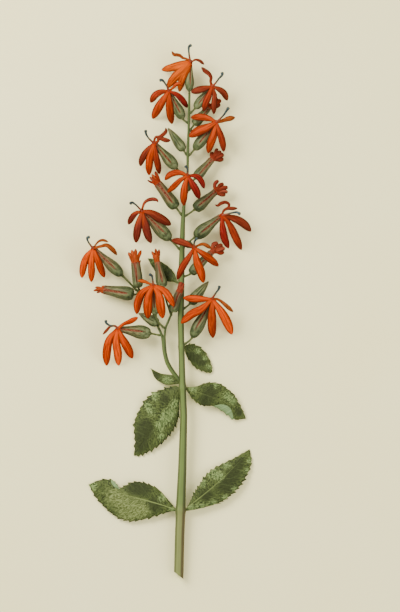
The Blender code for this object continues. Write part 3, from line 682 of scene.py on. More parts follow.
dice = random.Random(5)
for leaf_name, blade in BLADES.items():
    depths = [dice.uniform(*TOOTH_DEPTHS) for _ in range(TOOTH_COUNT)]
    marks = {}
    rings = [blade_ring(blade, i / LEAF_ROWS, depths, marks) for i in range(LEAF_ROWS + 1)]
    shape = Shape()
    shape.loft(rings, marks)
    if blade.flap:
        add_flap(shape, blade, depths)
    make_piece(leaf_name + "_blade", shape, leaf_finish, leaf_name)


# Flower stalks and calyxes
# Each flower sits in a green cup on a thin stalk. Five narrow pointed sepals rise from the ribbed cup and
# lie along the petals' tube, which shows red between them.

# A root is how far up the stem a stalk starts, or its point of the side branch. A lobe is the points between
# the hub and its tip, then its tip, width and colour. A column is such points with its tip as the last
Flower = namedtuple("Flower", "root base mouth girth lobes column")
FLOWERS = {
    "flower_1": Flower(
        (6.7, 388.0, 11.0), (6.6, 389.6, 10.8), (7.5, 411.7, 13.0), 3.05,
        [
            ([(0.5, 410.4), (-7.5, 408.3)], (-15.6, 406.4, 4), 6.6, "amber"),
            ([(2.0, 406.8), (-5.0, 400.4)], (-11.1, 392.2, 0), 7.4, "amber"),
            ([(4.4, 406.5), (0.9, 398.2)], (-1.4, 389.0, 3), 6.2, "amber"),
            ([(5.0, 415.1), (1.5, 416.1), (-0.8, 417.9), (-3.2, 418.5), (-5.6, 418.8)],
             (-7.4, 421.5, 16), 2.9, "rust"),
            ([(9.2, 413.4), (11.5, 414.6), (15.0, 413.8)], (18.6, 410.7, 12), 2.6, "russet"),
        ],
        [(6.6, 418.0), (6.2, 422.8), (6.6, 425.4), (8.7, 426.4, 22)],
    ),
    "flower_2": Flower(
        363.2, (1.5, 367.3, 9.0), (-9.3, 388.5, 14.0), 3.6,
        [
            ([(-15.6, 388.9), (-20.6, 386.2)], (-24.4, 380.2, 3), 5.4, "brick"),
            ([(-14.2, 382.6), (-18.4, 375.6)], (-22.9, 367.4, 0), 6.6, "scarlet"),
            ([(-9.4, 380.6), (-8.6, 371.6)], (-7.2, 363.1, 1), 6.2, "scarlet"),
            ([(-4.2, 387.2), (0.6, 383.0)], (5.2, 376.3, 7), 4.7, "crimson"),
            ([(-6.6, 391.8), (-4.2, 394.6), (-1.4, 395.5)], (1.0, 394.2, 17), 3.0, "scarlet"),
        ],
        [(-11.2, 393.2), (-13.2, 396.4), (-15.2, 398.4), (-17.3, 397.8, 24)],
    ),
    "flower_3": Flower(
        370.8, (11.2, 375.7, 11.0), (24.1, 392.5, 15.0), 3.2,
        [
            ([(18.6, 391.6), (13.0, 390.1)], (8.0, 388.7, 17.5), 5.6, "russet"),
            ([(22.6, 386.4), (19.6, 379.6)], (18.2, 373.4, 11), 5.4, "brick"),
            ([(26.9, 386.4), (26.4, 378.4)], (26.3, 371.0, 11), 4.5, "russet"),
            ([(30.4, 391.0), (34.6, 387.6)], (37.1, 381.9, 3), 5.0, "russet"),
            ([(23.7, 397.0), (24.0, 400.4), (22.3, 403.4), (19.2, 405.8)], (16.3, 408.7, 19), 3.7, "russet"),
        ],
        [(27.4, 395.6), (30.4, 399.6), (33.0, 402.6), (32.7, 404.8, 25)],
    ),
    "flower_4": Flower(
        336.8, (10.6, 342.7, 9.5), (27.5, 363.8, 15.0), 3.7,
        [
            ([(22.2, 367.6), (15.0, 368.8)], (7.8, 368.4, 16), 5.5, "scarlet"),
            ([(20.8, 360.4), (13.6, 357.4)], (6.5, 352.9, 14), 7.2, "scarlet"),
            ([(26.2, 354.5), (23.4, 346.8)], (21.7, 339.9, 9), 6.3, "scarlet"),
            ([(31.6, 354.5), (33.4, 347.5)], (34.2, 341.0, 9), 5.3, "brick"),
            ([(32.2, 365.4), (37.2, 367.2)], (43.3, 368.5, 13), 4.3, "rust"),
        ],
        [(31.5, 367.5), (34.6, 371.0), (36.8, 374.4), (38.4, 376.6, 25)],
    ),
    "flower_5": Flower(
        319.6, (-3.6, 327.8, 9.0), (-20.7, 347.2, 14.0), 4.0,
        [
            ([(-27.3, 341.6), (-31.0, 335.4)], (-32.6, 329.4, 2), 5.2, "russet"),
            ([(-24.6, 337.0), (-25.5, 329.8)], (-25.6, 322.2, 0), 5.9, "orange"),
            ([(-19.9, 337.0), (-18.4, 329.8)], (-17.2, 322.9, 3), 5.2, "brick"),
            ([(-18.6, 349.2), (-17.8, 351.8), (-15.2, 351.3), (-11.8, 350.2)],
             (-8.3, 350.0, 17), 3.8, "russet"),
            ([(-21.4, 349.8), (-20.2, 352.7), (-17.4, 353.0), (-14.4, 354.7), (-12.0, 357.4)],
             (-12.3, 360.2, 20), 3.2, "russet"),
        ],
        [(-23.2, 349.2), (-26.0, 352.0), (-27.9, 355.2), (-28.4, 358.5, 24)],
    ),
    "flower_6": Flower(
        299.0, (4.9, 309.2, 17.0), (5.3, 321.1, 27.0), 2.9,
        [
            ([(-1.6, 324.3), (-8.2, 323.0)], (-13.0, 318.4, 21), 5.0, "scarlet"),
            ([(-0.6, 318.2), (-5.8, 313.2)], (-10.9, 308.4, 18), 4.6, "scarlet"),
            ([(3.0, 313.4), (2.2, 305.4)], (2.2, 297.9, 17.5), 5.9, "scarlet"),
            ([(9.0, 315.6), (12.4, 309.4)], (14.6, 303.3, 17.5), 5.8, "crimson"),
            ([(12.4, 321.4), (16.3, 317.4)], (18.6, 311.5, 21), 4.4, "crimson"),
        ],
        [(5.3, 324.6), (5.0, 327.6), (3.4, 329.8, 36)],
    ),
    "flower_7": Flower(
        260.8, (-8.6, 270.8, 9.0), (-30.4, 292.6, 14.0), 4.45,
        [
            ([(-35.8, 291.9), (-39.2, 288.4)], (-42.1, 282.8, 2), 4.6, "maroon"),
            ([(-33.6, 284.4), (-35.2, 276.0)], (-36.0, 268.2, 0), 6.2, "maroon"),
            ([(-29.0, 284.4), (-26.9, 276.0)], (-24.0, 267.9, 2), 6.4, "maroon"),
            ([(-24.6, 292.2), (-17.2, 288.0)], (-8.0, 282.4, 8), 7.0, "russet"),
            ([(-30.6, 296.6), (-29.3, 300.0), (-26.4, 302.3), (-22.5, 303.1), (-19.6, 302.4)],
             (-18.2, 300.6, 18), 3.2, "maroon"),
        ],
        [(-33.2, 295.6), (-36.2, 298.6), (-39.2, 300.4), (-41.0, 299.0, 23)],
    ),
    "flower_8": Flower(
        263.6, (11.0, 272.7, 9.0), (32.0, 289.4, 14.0), 4.5,
        [
            ([(33.2, 281.8), (34.6, 272.6)], (38.1, 263.6, 0), 5.9, "crimson"),
            ([(38.6, 283.2), (43.4, 273.4)], (48.4, 262.4, 0), 6.1, "brick"),
            ([(43.6, 287.2), (50.4, 283.2)], (56.0, 277.3, 2), 6.4, "russet"),
            ([(34.2, 293.8), (37.6, 295.6), (41.5, 295.6)], (45.3, 295.8, 17), 3.0, "russet"),
            ([(34.2, 294.2), (37.8, 296.6), (38.2, 299.2), (35.4, 300.6), (31.8, 299.6), (29.4, 297.9)],
             (27.0, 298.7, 20), 2.8, "russet"),
        ],
        [(36.5, 291.0), (40.5, 292.0), (44.6, 292.6), (47.6, 290.9, 23)],
    ),
    "flower_9": Flower(
        (-36.2, 230.8, 7.0), (-47.2, 242.2, 8.5), (-69.3, 263.0, 13.0), 4.0,
        [
            ([(-75.4, 257.2), (-78.1, 249.2)], (-79.4, 240.0, 0), 5.7, "flame"),
            ([(-71.6, 254.4), (-71.6, 246.0)], (-71.7, 236.7, 0), 5.5, "flame"),
            ([(-66.8, 254.6), (-64.2, 247.8)], (-61.2, 240.4, 2), 5.6, "orange"),
            ([(-64.2, 265.3), (-59.4, 266.2), (-54.6, 262.6)], (-51.2, 258.2, 8), 3.9, "rust"),
            ([(-68.3, 266.6), (-65.5, 269.5), (-62.0, 270.2)], (-58.0, 268.7, 16), 2.3, "rust"),
        ],
        [(-71.8, 265.5), (-74.3, 269.2), (-75.0, 272.2), (-72.8, 272.8, 22)],
    ),
    "flower_10": Flower(
        269.0, (3.3, 268.4, 15.5), (10.1, 264.6, 27.0), 2.6,
        [
            ([(4.8, 267.2), (-1.0, 269.1)], (-7.6, 270.3, 20), 5.4, "russet"),
            ([(5.4, 255.4), (0.6, 247.6)], (-2.9, 238.7, 18), 5.4, "brick"),
            ([(12.8, 253.2), (15.9, 244.8)], (18.0, 236.1, 16.5), 6.6, "orange"),
            ([(17.4, 259.6), (23.6, 255.0)], (30.1, 249.4, 16.5), 5.7, "scarlet"),
            ([(14.2, 266.3), (18.6, 266.9)], (24.5, 263.4, 22), 3.2, "rust"),
        ],
        [(10.5, 267.6), (11.4, 270.2), (13.2, 272.0, 36)],
    ),
    "flower_11": Flower(
        (-14.3, 200.6, 11.4), (-20.4, 211.0, 15.5), (-22.2, 233.1, 24.0), 3.6,
        [
            ([(-30.4, 228.8), (-34.4, 220.6)], (-35.4, 211.0, 13), 6.2, "orange"),
            ([(-25.6, 226.4), (-26.6, 217.4)], (-26.4, 207.6, 14), 7.1, "orange"),
            ([(-17.8, 226.8), (-16.2, 217.4)], (-14.6, 207.6, 14), 7.0, "flame"),
            ([(-14.4, 230.6), (-9.8, 225.2)], (-5.7, 217.4, 20), 5.7, "flame"),
            ([(-26.0, 235.8), (-30.0, 237.4)], (-34.5, 237.8, 24.5), 2.9, "amber"),
        ],
        [(-22.6, 238.4), (-23.4, 241.8), (-25.5, 243.1, 34)],
    ),
    "flower_12": Flower(
        184.6, (9.0, 192.6, 9.5), (24.6, 222.0, 17.0), 4.1,
        [
            ([(15.2, 223.2), (8.0, 223.6)], (1.8, 224.2, 16.5), 5.7, "orange"),
            ([(16.4, 215.4), (8.2, 210.9)], (0.1, 203.8, 15.5), 6.6, "orange"),
            ([(24.8, 209.0), (24.8, 201.0)], (25.6, 192.0, 2), 6.9, "scarlet"),
            ([(32.6, 212.4), (37.4, 203.4)], (40.8, 194.8, 0), 7.2, "flame"),
            ([(30.0, 222.7), (35.8, 218.2)], (41.8, 212.8, 11), 3.4, "rust"),
        ],
        [(25.6, 224.4), (27.6, 227.6), (30.0, 231.0), (31.0, 233.8, 28)],
    ),
    "flower_13": Flower(
        (-17.4, 194.2, 8.4), (-24.2, 195.6, 8.6), (-49.6, 199.3, 13.5), 4.75,
        [
            ([(-57.0, 191.4), (-59.3, 181.4)], (-59.5, 169.8, 0), 6.7, "orange"),
            ([(-51.9, 189.4), (-50.6, 180.0)], (-49.9, 169.8, 0), 6.6, "flame"),
            ([(-46.4, 190.6), (-42.2, 183.0)], (-38.8, 175.6, 1), 6.7, "orange"),
            ([(-46.2, 203.0), (-41.0, 205.1)], (-34.3, 208.6, 14), 4.1, "orange"),
            ([(-53.0, 201.4), (-56.5, 201.3), (-59.4, 198.2)], (-62.6, 194.7, 14), 2.4, "russet"),
        ],
        [(-52.6, 201.6), (-56.6, 202.0), (-59.6, 203.8), (-60.3, 206.4, 22)],
    ),
}

# The stalk of a flower or bud, and the gap kept between it and the stem
PEDICEL_RADIUS = 0.8
PEDICEL_ROWS = 16
PEDICEL_SIDES = 14
STRAND_SAMPLES = 60
GAP = 0.3
UP = Vector((0.0, 0.0, 1.0))

# How far the hub of a corolla lies beyond and above the calyx's mouth
HUB_AHEAD = 1.2
HUB_LIFT = 2.6

# The cup's radius along it, as a share of its girth, and its ten blunt ribs
CALYX_PROFILE = [
    (0.0, 0.42), (0.035, 0.80), (0.09, 1.05), (0.18, 1.17), (0.30, 1.12), (0.45, 0.90), (0.62, 0.70),
    (0.80, 0.57), (1.0, 0.48),
]
CUP_END = 0.20
CUP_ROWS = 20
CUP_SIDES = 40
CUP_SHARE = 0.97
CUP_RIBS = 10
CUP_RIB_DEPTH = 0.035

# Sepals. The gaps between them, in degrees, widen from the cup to their tips, most of all on top
SEPALS = 5
SEPAL_TURN = 360 / SEPALS
SEPAL_START = 0.13
SEPAL_ROWS = 40
SEPAL_COLUMNS = 9
SEPAL_HALF_THICKNESS = 0.28
SEPAL_SUNK = 0.10
KEEL_HEIGHT = 0.16
KEEL_WIDTH = 0.18
TOP_GAP = [(0.0, 0.0), (0.08, 3.0), (0.25, 6.5), (0.55, 10.0), (0.85, 15.0), (0.96, 25.0), (1.0, 34.0)]
SIDE_GAP = [(0.0, 0.0), (0.5, 3.0), (0.8, 9.0), (0.93, 20.0), (1.0, 34.0)]
SEPAL_MARKS = ("along", "across", "blush", "deep", "flank")
BLUSH_REACH = 42

# How red the sepals are beside the upper seam, and how dark the cup is, from 0 to 1
PLAIN_TONE = (0.35, 0.0)
CALYX_TONES = {
    "flower_2": (0.35, 0.2), "flower_4": (0.5, 0.2), "flower_5": (0.25, 0.0), "flower_7": (1.0, 0.4),
    "flower_8": (0.2, 0.9), "flower_9": (1.0, 0.6), "flower_12": (0.4, 0.6), "flower_13": (0.5, 0.1),
    "bud_2": (0.5, 0.7), "bud_3": (1.0, 0.8), "bud_4": (0.5, 0.9), "bud_5": (0.7, 0.1), "bud_6": (0.9, 0.1),
    "bud_7": (0.4, 0.6), "bud_8": (0.3, 0.5), "bud_9": (0.9, 0.3), "green_calyx_2": (0.0, 0.4),
    "green_calyx_3": (0.4, 0.3),
}


def root_point(root, base):
    """Where a flower stalk starts: beside the stem, or at a given point of the side branch."""
    if not isinstance(root, float):
        return Vector(root)
    middle, radius = stem_at(root)
    towards = (Vector(base) - middle).normalized()
    clear = math.hypot(towards.x, towards.z)
    return middle + towards * (radius + GAP + PEDICEL_RADIUS * abs(towards.y)) / clear


def nearest_strand(place):
    """The nearest middle point of the side branch or of the top of the stem."""
    points = [stem_at(STEM_LINE[-1][1])[0]]
    for line in (BRANCH_LINE, FORK_LINE):
        points += [Vector(smooth_line(line, i / STRAND_SAMPLES)[:3]) for i in range(STRAND_SAMPLES + 1)]
    return min(points, key=lambda point: (point - place).length)


def bezier(start, control, end, t):
    """A point of the quadratic curve from start to end."""
    return start * (1 - t) ** 2 + control * 2 * t * (1 - t) + end * t * t


def hub_of(flower):
    """The middle of the corolla, where its lobes meet over the end of the tube."""
    base, mouth = Vector(flower.base), Vector(flower.mouth)
    ahead = (mouth - base).normalized()
    return Vector((mouth.x + ahead.x * HUB_AHEAD, mouth.y + ahead.y * HUB_AHEAD, mouth.z + HUB_LIFT))


def calyx_control(base, mouth):
    """The point that bends a calyx up towards its mouth."""
    control = base.lerp(mouth, 0.7)
    control.z = base.z + 0.15 * (mouth.z - base.z)
    return control


def along_path(path):
    """The place, sideways and upward directions at each point of a path."""
    frames = []
    for i, place in enumerate(path):
        ahead = (path[min(i + 1, len(path) - 1)] - path[max(i - 1, 0)]).normalized()
        side = ahead.cross(UP).normalized()
        frames.append((place, side, side.cross(ahead)))
    return frames


def beside(where, radius, angle):
    """The point at a radius and angle around a place of a path. A quarter turn from its side is up."""
    place, side, up = where
    return place + side * (radius * math.cos(angle)) + up * (radius * math.sin(angle))


def round_ring(where, radius, sides, ribs=0, depth=0.0):
    """A ring of points around a place of a path, from its underside round, with blunt ribs if asked."""
    ring = []
    for j in range(sides):
        angle = math.tau * j / sides - math.pi / 2
        ring.append(beside(where, radius * (1 + depth * math.cos(ribs * (angle - math.pi / 2))), angle))
    return ring


def grain_of(rings):
    """Distance along, distance around and a third free number, in millimetres, for each point of rings."""
    grain = []
    travelled = 0.0
    before = sum(rings[0], Vector()) / len(rings[0])
    for ring in rings:
        middle = sum(ring, Vector()) / len(ring)
        travelled += (middle - before).length
        before = middle
        step = (ring[1] - ring[0]).length
        grain += [(travelled, step * (j - len(ring) / 2), middle.x) for j in range(len(ring))]
    return grain


def add_stalk(shape, root, base, control):
    """The stalk of a flower or bud, from inside the stem or side branch to the foot of its calyx."""
    start = root_point(root, base)
    inside = stem_at(root)[0].lerp(start, 0.4) if isinstance(root, float) else nearest_strand(start)
    bend = base - (control - base).normalized() * (base - start).length * 0.4
    path, radii = [inside], [PEDICEL_RADIUS * 1.15]
    for i in range(PEDICEL_ROWS + 1):
        t = i / PEDICEL_ROWS
        path.append(bezier(start, bend, base, t))
        swell = 1.0 + 0.35 * math.exp(-(t / 0.12) ** 2) + 0.55 * max(0.0, t - 0.75) / 0.25
        radii.append(PEDICEL_RADIUS * swell)
    rings = [round_ring(where, radius, PEDICEL_SIDES) for where, radius in zip(along_path(path), radii)]
    plain = [0.0] * (len(rings) * PEDICEL_SIDES)
    shape.loft(rings, {"grain": grain_of(rings), **{name: plain for name in SEPAL_MARKS}})


def add_calyx(shape, base, control, mouth, girth, tone, roll=0.0, profile=CALYX_PROFILE, sepal_end=0.97,
              opening=1.0):
    """A ribbed cup and five sepals on the curve from base over control to mouth. One gap faces up."""
    def frames_at(places):
        return along_path([bezier(base, control, mouth, t) for t in places])

    flush, deep = tone
    steps = [CUP_END * i / CUP_ROWS for i in range(CUP_ROWS + 1)]
    rings = [round_ring(where, girth * profile_at(profile, t) * CUP_SHARE, CUP_SIDES, CUP_RIBS, CUP_RIB_DEPTH)
             for t, where in zip(steps, frames_at(steps))]
    marks = {"grain": grain_of(rings)}
    for t in steps:
        for j in range(CUP_SIDES):
            # How far each point of the cup faces down, which sets its painted shade
            lowness = 1 + math.cos(math.tau * j / CUP_SIDES)
            note(marks, along=t, across=0.0, blush=0.0, deep=deep, flank=lowness)
    shape.loft(rings, marks)

    length = sepal_end - SEPAL_START
    places = [SEPAL_START + length * i / SEPAL_ROWS for i in range(SEPAL_ROWS + 1)]
    columns = [2 * j / (SEPAL_COLUMNS - 1) - 1 for j in range(SEPAL_COLUMNS)]
    for k in range(SEPALS):
        rings, marks = [], {}
        for t, where in zip(places, frames_at(places)):
            s = (t - SEPAL_START) / length
            first = SEPAL_TURN * k + opening * profile_at(TOP_GAP if k == 0 else SIDE_GAP, s)
            last = SEPAL_TURN * (k + 1) - opening * profile_at(TOP_GAP if k == SEPALS - 1 else SIDE_GAP, s)
            ring = []
            for face, v in both_faces(columns):
                around = (first + last) / 2 + (last - first) / 2 * v
                angle = math.radians(90 + roll + around)
                thick = SEPAL_HALF_THICKNESS * math.sqrt(max(0.03, 1 - v * v)) * (1 - 0.5 * s)
                thick *= min(1.0, 0.15 + s * 5)
                keel = KEEL_HEIGHT * min(1.0, s * 4) * math.exp(-(v / KEEL_WIDTH) ** 2) if face > 0 else 0.0
                radius = girth * profile_at(profile, t) - SEPAL_SUNK + face * thick + keel
                ring.append(beside(where, radius, angle))
                blush = opening * math.exp(-(min(around, 360 - around) / BLUSH_REACH) ** 2) * flush
                # A point that faces down takes the most painted shade
                note(marks, along=t, across=v, blush=blush, deep=deep, flank=1 - math.sin(angle))
            rings.append(ring)
        shape.loft(rings, {"grain": grain_of(rings), **marks})


def slight_roll(number, step, span):
    """A turn of a few degrees about a cup's length, different from one cup to the next."""
    return number * step % span - span // 2


# Sepal skin: firm and waxy, olive with lengthwise streaks 0.8 mm wide, greener and spotted over 3 mm on the
# cup, flushed red-brown along the upper seam and towards the mouth, with painted shade down its lower sides,
# and a thin dark margin inside which it is paler
sepal_finish, tree, shader = new_finish("waxy_sepal_skin")
here = add_node(tree, "ShaderNodeTexCoord").outputs["Object"]
along, across, blush, deep, flank = (
    add_node(tree, "ShaderNodeAttribute", attribute_name=name).outputs["Fac"] for name in SEPAL_MARKS)
grain = add_node(tree, "ShaderNodeAttribute", attribute_name="grain").outputs["Vector"]
drawn = add_node(tree, "ShaderNodeMapping", {"Vector": grain, "Scale": (0.06, 1.3, 0.3)})
streaks = add_node(
    tree, "ShaderNodeTexNoise", {"Vector": drawn.outputs[0], "Scale": 1.0, "Detail": 2.0}).outputs["Fac"]
spots = add_node(tree, "ShaderNodeTexNoise", {"Vector": here, "Scale": 330.0, "Detail": 3.0}).outputs["Fac"]
margin = add_node(tree, "ShaderNodeMath", {0: across}, operation="ABSOLUTE").outputs[0]
olive = lay_over(tree, "2A321B", "4C5834", streaks, 0.36, 0.50)
olive = lay_over(tree, olive, "76764C", streaks, 0.50, 0.64)
half_deep = add_node(tree, "ShaderNodeMath", {0: deep, 1: 0.5}, operation="MULTIPLY").outputs[0]
olive = add_node(
    tree, "ShaderNodeMix", {0: half_deep, 6: olive, 7: linear("2A3014")}, data_type="RGBA").outputs[2]
light_cup = lay_over(tree, "454F2B", "6F7750", spots, 0.42, 0.62)
dark_cup = lay_over(tree, "1E2912", "43522B", spots, 0.42, 0.62)
cup = add_node(tree, "ShaderNodeMix", {0: deep, 6: light_cup, 7: dark_cup}, data_type="RGBA").outputs[2]
flush = lay_over(tree, "43200F", "6C4229", streaks, 0.38, 0.62)
seam = lay_over(tree, "1C2210", "8A5A44", blush, 0.08, 0.3)
stalk_green = lay_over(tree, "363E1E", "555E30", streaks, 0.3, 0.7)
inside_margin = add_node(
    tree, "ShaderNodeMapRange", {"Value": margin, "From Min": 0.35, "From Max": 0.6},
    interpolation_type="SMOOTHSTEP").outputs["Result"]
olive = lay_over(tree, olive, cup, along, 0.34, 0.10, 0.85)
olive = lay_over(tree, olive, flush, along, 0.2, 0.42, times=blush)
olive = lay_over(tree, olive, flush, along, 0.62, 1.0, 0.55)
olive = lay_over(tree, olive, "767C50", margin, 0.9, 0.7, 0.34, times=inside_margin)
# Painted shade on the sides that face down
olive = lay_over(tree, olive, "2C3A1E", flank, 0.04, 0.55, 0.72)
olive = lay_over(tree, olive, seam, margin, 0.80, 0.99, 0.8)
olive = lay_over(tree, olive, stalk_green, along, 0.012, 0.002)
finish_surface(tree, shader, olive, 0.55, 0.22, (streaks, 0.5, 0.00015))

for number, (flower_name, flower) in enumerate(FLOWERS.items()):
    base, mouth = Vector(flower.base), Vector(flower.mouth)
    control = calyx_control(base, mouth)
    tone = CALYX_TONES.get(flower_name, PLAIN_TONE)
    shape = Shape()
    add_stalk(shape, flower.root, base, control)
    add_calyx(shape, base, control, mouth, flower.girth, tone, slight_roll(number, 37, 17))
    make_piece(flower_name + "_sepals", shape, sepal_finish, flower_name + "_calyx")


# Corollas
# The five petals of a flower are joined in a tube inside the sepals and part at its mouth into lobes:
# three broad ones that hang to one side, and two narrow ones that curl away on the other.

# How steeply a lobe droops, how far it is crowned as a share of its half width, and in millimetres how far it
# dips into the throat, ruffles at its edges, is grooved along its middle and lies over the next lobe
LOBE_DROOP = 2.4
LOBE_CROWN = 0.16
LOBE_DIP = 0.9
LOBE_RUFFLE = 0.24
LOBE_GROOVE = 0.20
GROOVE_WIDTH = 0.15
LOBE_STACK = 0.3
LOBE_THICKNESS = 0.55
LOBE_ROWS = 44
LOBE_COLUMNS = 15
FINE_STEPS = 80

# The lowest that a lobe's upper and lower faces may lie, in the plan
LOBE_LOWEST = {1: 0.0, -1: -0.6}

# A lobe's width along it, as a share of its broadest. Lobes narrower than NARROW have the last outline
BROAD_OUTLINE = [
    (0.0, 0.44), (0.10, 0.50), (0.25, 0.74), (0.42, 0.97), (0.56, 1.05), (0.70, 1.03), (0.82, 0.90),
    (0.91, 0.65), (0.97, 0.36), (1.0, 0.08),
]
JOINED_OUTLINE = [
    (0.0, 0.60), (0.15, 0.88), (0.30, 1.05), (0.50, 1.06), (0.66, 0.96), (0.80, 0.84), (0.90, 0.60),
    (0.97, 0.32), (1.0, 0.08),
]
NARROW_OUTLINE = [
    (0.0, 0.62), (0.2, 0.60), (0.4, 0.76), (0.62, 0.98), (0.78, 0.98), (0.90, 0.70), (0.97, 0.36),
    (1.0, 0.08),
]
NARROW = 4.4

# The joined tube starts inside the cup, narrows to a neck at its mouth and opens in a throat, given as depths
# and radii. Its rings have the lobes' red from RED_FROM_RING
PETALS = 5
TUBE_START = 0.16
TUBE_SHARE = 0.90
TUBE_ROWS = 26
TUBE_SIDES = 26
NECK_BEND = 1.4
NECK_RADIUS = 1.75
NECK_ROWS = 8
NECK_SWELL = 0.15
THROAT = ((0.1, 1.45), (0.5, 1.15), (1.2, 0.95), (2.0, 0.85))
RED_FROM_RING = 28

PETAL_COLOURS = {
    "flame": "C84602", "amber": "B44C0C", "orange": "AE3A04", "scarlet": "983612", "rust": "8A441A",
    "brick": "802C18", "russet": "6C2C1C", "crimson": "781E1A", "maroon": "6E2C20", "rose": "7E3A28",
    "salmon": "94401C",
}

# How much darker a lobe of each deep colour is at its tip; the others darken by PLAIN_TIP
TIP_SHADES = {"rust": 1.0, "brick": 1.0, "russet": 1.0, "crimson": 0.9, "scarlet": 0.6, "maroon": 0.3}
PLAIN_TIP = 0.2


def plan_path(points, rows):
    """Evenly spaced points, and the heading at each, on the smooth curve through the points of a plan."""
    fine = [smooth_line(points, i / FINE_STEPS) for i in range(FINE_STEPS + 1)]
    reach = [0.0]
    for before, after in zip(fine, fine[1:]):
        reach.append(reach[-1] + (after - before).length)
    path = []
    for i in range(rows + 1):
        wanted = reach[-1] * i / rows
        k = min(max(bisect(reach, wanted) - 1, 0), len(fine) - 2)
        f = (wanted - reach[k]) / (reach[k + 1] - reach[k])
        path.append((fine[k].lerp(fine[k + 1], f), (fine[k + 1] - fine[k]).normalized()))
    return path, reach[-1]


def add_lobe(shape, hub, lobe, lift, dice, outline=None):
    """One petal lobe: a thick, crowned blade that is narrow at the mouth and blunt at its end."""
    middles, tip, width, colour = lobe
    tip, tint = Vector(tip), linear(PETAL_COLOURS[colour])
    phase, free, lean = dice.uniform(0, 6), dice.uniform(0, 60), dice.uniform(-0.14, 0.14)
    outline = outline or (NARROW_OUTLINE if width < NARROW else BROAD_OUTLINE)
    path, length = plan_path([hub.xy, *middles, tip.xy], LOBE_ROWS)
    away = tip.xy - hub.xy
    # The side of the lobe that faces the lower right takes painted shade, and the other side painted light
    painted_shade_side = 1.0 if away.y + away.x < 0 else -1.0
    rings, marks = [], {}
    columns = [2 * j / (LOBE_COLUMNS - 1) - 1 for j in range(LOBE_COLUMNS)]
    for i, (place, ahead) in enumerate(path):
        t = i / LOBE_ROWS
        half = 0.5 * width * profile_at(outline, t)
        height = hub.z + lift + (tip.z - hub.z - lift) * t ** LOBE_DROOP - LOBE_DIP * (1 - t) ** 9
        ring = []
        for face, v in both_faces(columns):
            crown = LOBE_CROWN * half * (1 - 2 * v * v) + lean * half * v
            ruffle = LOBE_RUFFLE * v * v * math.sin(9 * t + phase + 2 * v) * min(1.0, 4 * t)
            groove = LOBE_GROOVE * math.exp(-(v / GROOVE_WIDTH) ** 2) * (1 - t)
            skin = LOBE_THICKNESS / 2 * math.sqrt(max(0.03, 1 - v * v)) * min(1.0, 0.35 + 3 * (1 - t))
            flat = place + Vector((-ahead.y, ahead.x)) * (v * half)
            z = height + crown + ruffle + face * skin - (groove if face > 0 else 0.0)
            ring.append(Vector((flat.x, flat.y, max(z, LOBE_LOWEST[face]))))
            note(marks, along=t, across=v * painted_shade_side, tint=tint, tipped=TIP_SHADES.get(colour, PLAIN_TIP),
                 grain=(t * length, v * half, free))
        rings.append(ring)
    shape.loft(rings, marks)


def tube_rows(point_at, girth, profile):
    """Places and radii of the petals' joined tube, just inside the cup and the sepals."""
    rows = []
    for i in range(TUBE_ROWS + 1):
        t = TUBE_START + (1 - TUBE_START) * i / TUBE_ROWS
        rows.append((point_at(t), girth * profile_at(profile, t) * TUBE_SHARE))
    return rows


def loft_tube(shape, frames, rows, rib_depth, reach, tint):
    """Skin a tube of five joined petals. reach says how far along the petals each of its rings counts."""
    rings = [round_ring(where, radius, TUBE_SIDES, PETALS, rib_depth)
             for where, (_, radius) in zip(frames, rows)]
    points = len(rings) * TUBE_SIDES
    shape.loft(rings, {
        "along": [along for along in reach for _ in range(TUBE_SIDES)], "across": [0.0] * points,
        "tint": [tint] * points, "tipped": [0.0] * points, "grain": grain_of(rings)})


def add_corolla_tube(shape, flower, tint):
    """The petals' joined tube, from inside the cup to its flared throat and back down within."""
    base, mouth = Vector(flower.base), Vector(flower.mouth)
    control, hub = calyx_control(base, mouth), hub_of(flower)
    rows = tube_rows(lambda t: bezier(base, control, mouth, t), flower.girth, CALYX_PROFILE)
    last = rows[-1][1]
    bend = mouth + (mouth - control).normalized() * NECK_BEND
    for i in range(1, NECK_ROWS + 1):
        t = i / NECK_ROWS
        swell = NECK_SWELL * math.sin(math.pi * t)
        rows.append((bezier(mouth, bend, hub, t), last * (1 - t) + NECK_RADIUS * t + swell))
    frames = along_path([place for place, _ in rows])
    _, side, up = frames[-1]
    for depth, radius in THROAT:
        rows.append((hub - UP * depth, radius))
        frames.append((rows[-1][0], side, up))
    reach = [min(0.0, -1.0 + i / RED_FROM_RING) for i in range(len(rows))]
    loft_tube(shape, frames, rows, 0.03, reach, tint)


# Petal skin: soft and velvety, with next to no gloss. Streaks 1.3 mm wide and veins of 0.6 mm run along each
# lobe, brighter near the throat and darker along its edges and at its end. Painted shade darkens the side of
# each lobe that faces the lower right, and painted light carries the throat's brightness further up its other
# side. The tube is a duller, pinker red
petal_finish, tree, shader = new_finish("velvety_petal_skin")
along, across, tipped = (
    add_node(tree, "ShaderNodeAttribute", attribute_name=name).outputs["Fac"]
    for name in ("along", "across", "tipped"))
tint = add_node(tree, "ShaderNodeAttribute", attribute_name="tint").outputs["Color"]
grain = add_node(tree, "ShaderNodeAttribute", attribute_name="grain").outputs["Vector"]
drawn = add_node(tree, "ShaderNodeMapping", {"Vector": grain, "Scale": (0.06, 0.78, 1.0)})
streaks = add_node(
    tree, "ShaderNodeTexNoise",
    {"Vector": drawn.outputs[0], "Scale": 1.0, "Detail": 5.0, "Roughness": 0.6}).outputs["Fac"]
drawn = add_node(tree, "ShaderNodeMapping", {"Vector": grain, "Scale": (0.16, 1.8, 1.0)})
veins = add_node(
    tree, "ShaderNodeTexNoise", {"Vector": drawn.outputs[0], "Scale": 1.0, "Detail": 3.0}).outputs["Fac"]
margin = add_node(tree, "ShaderNodeMath", {0: across}, operation="ABSOLUTE").outputs[0]
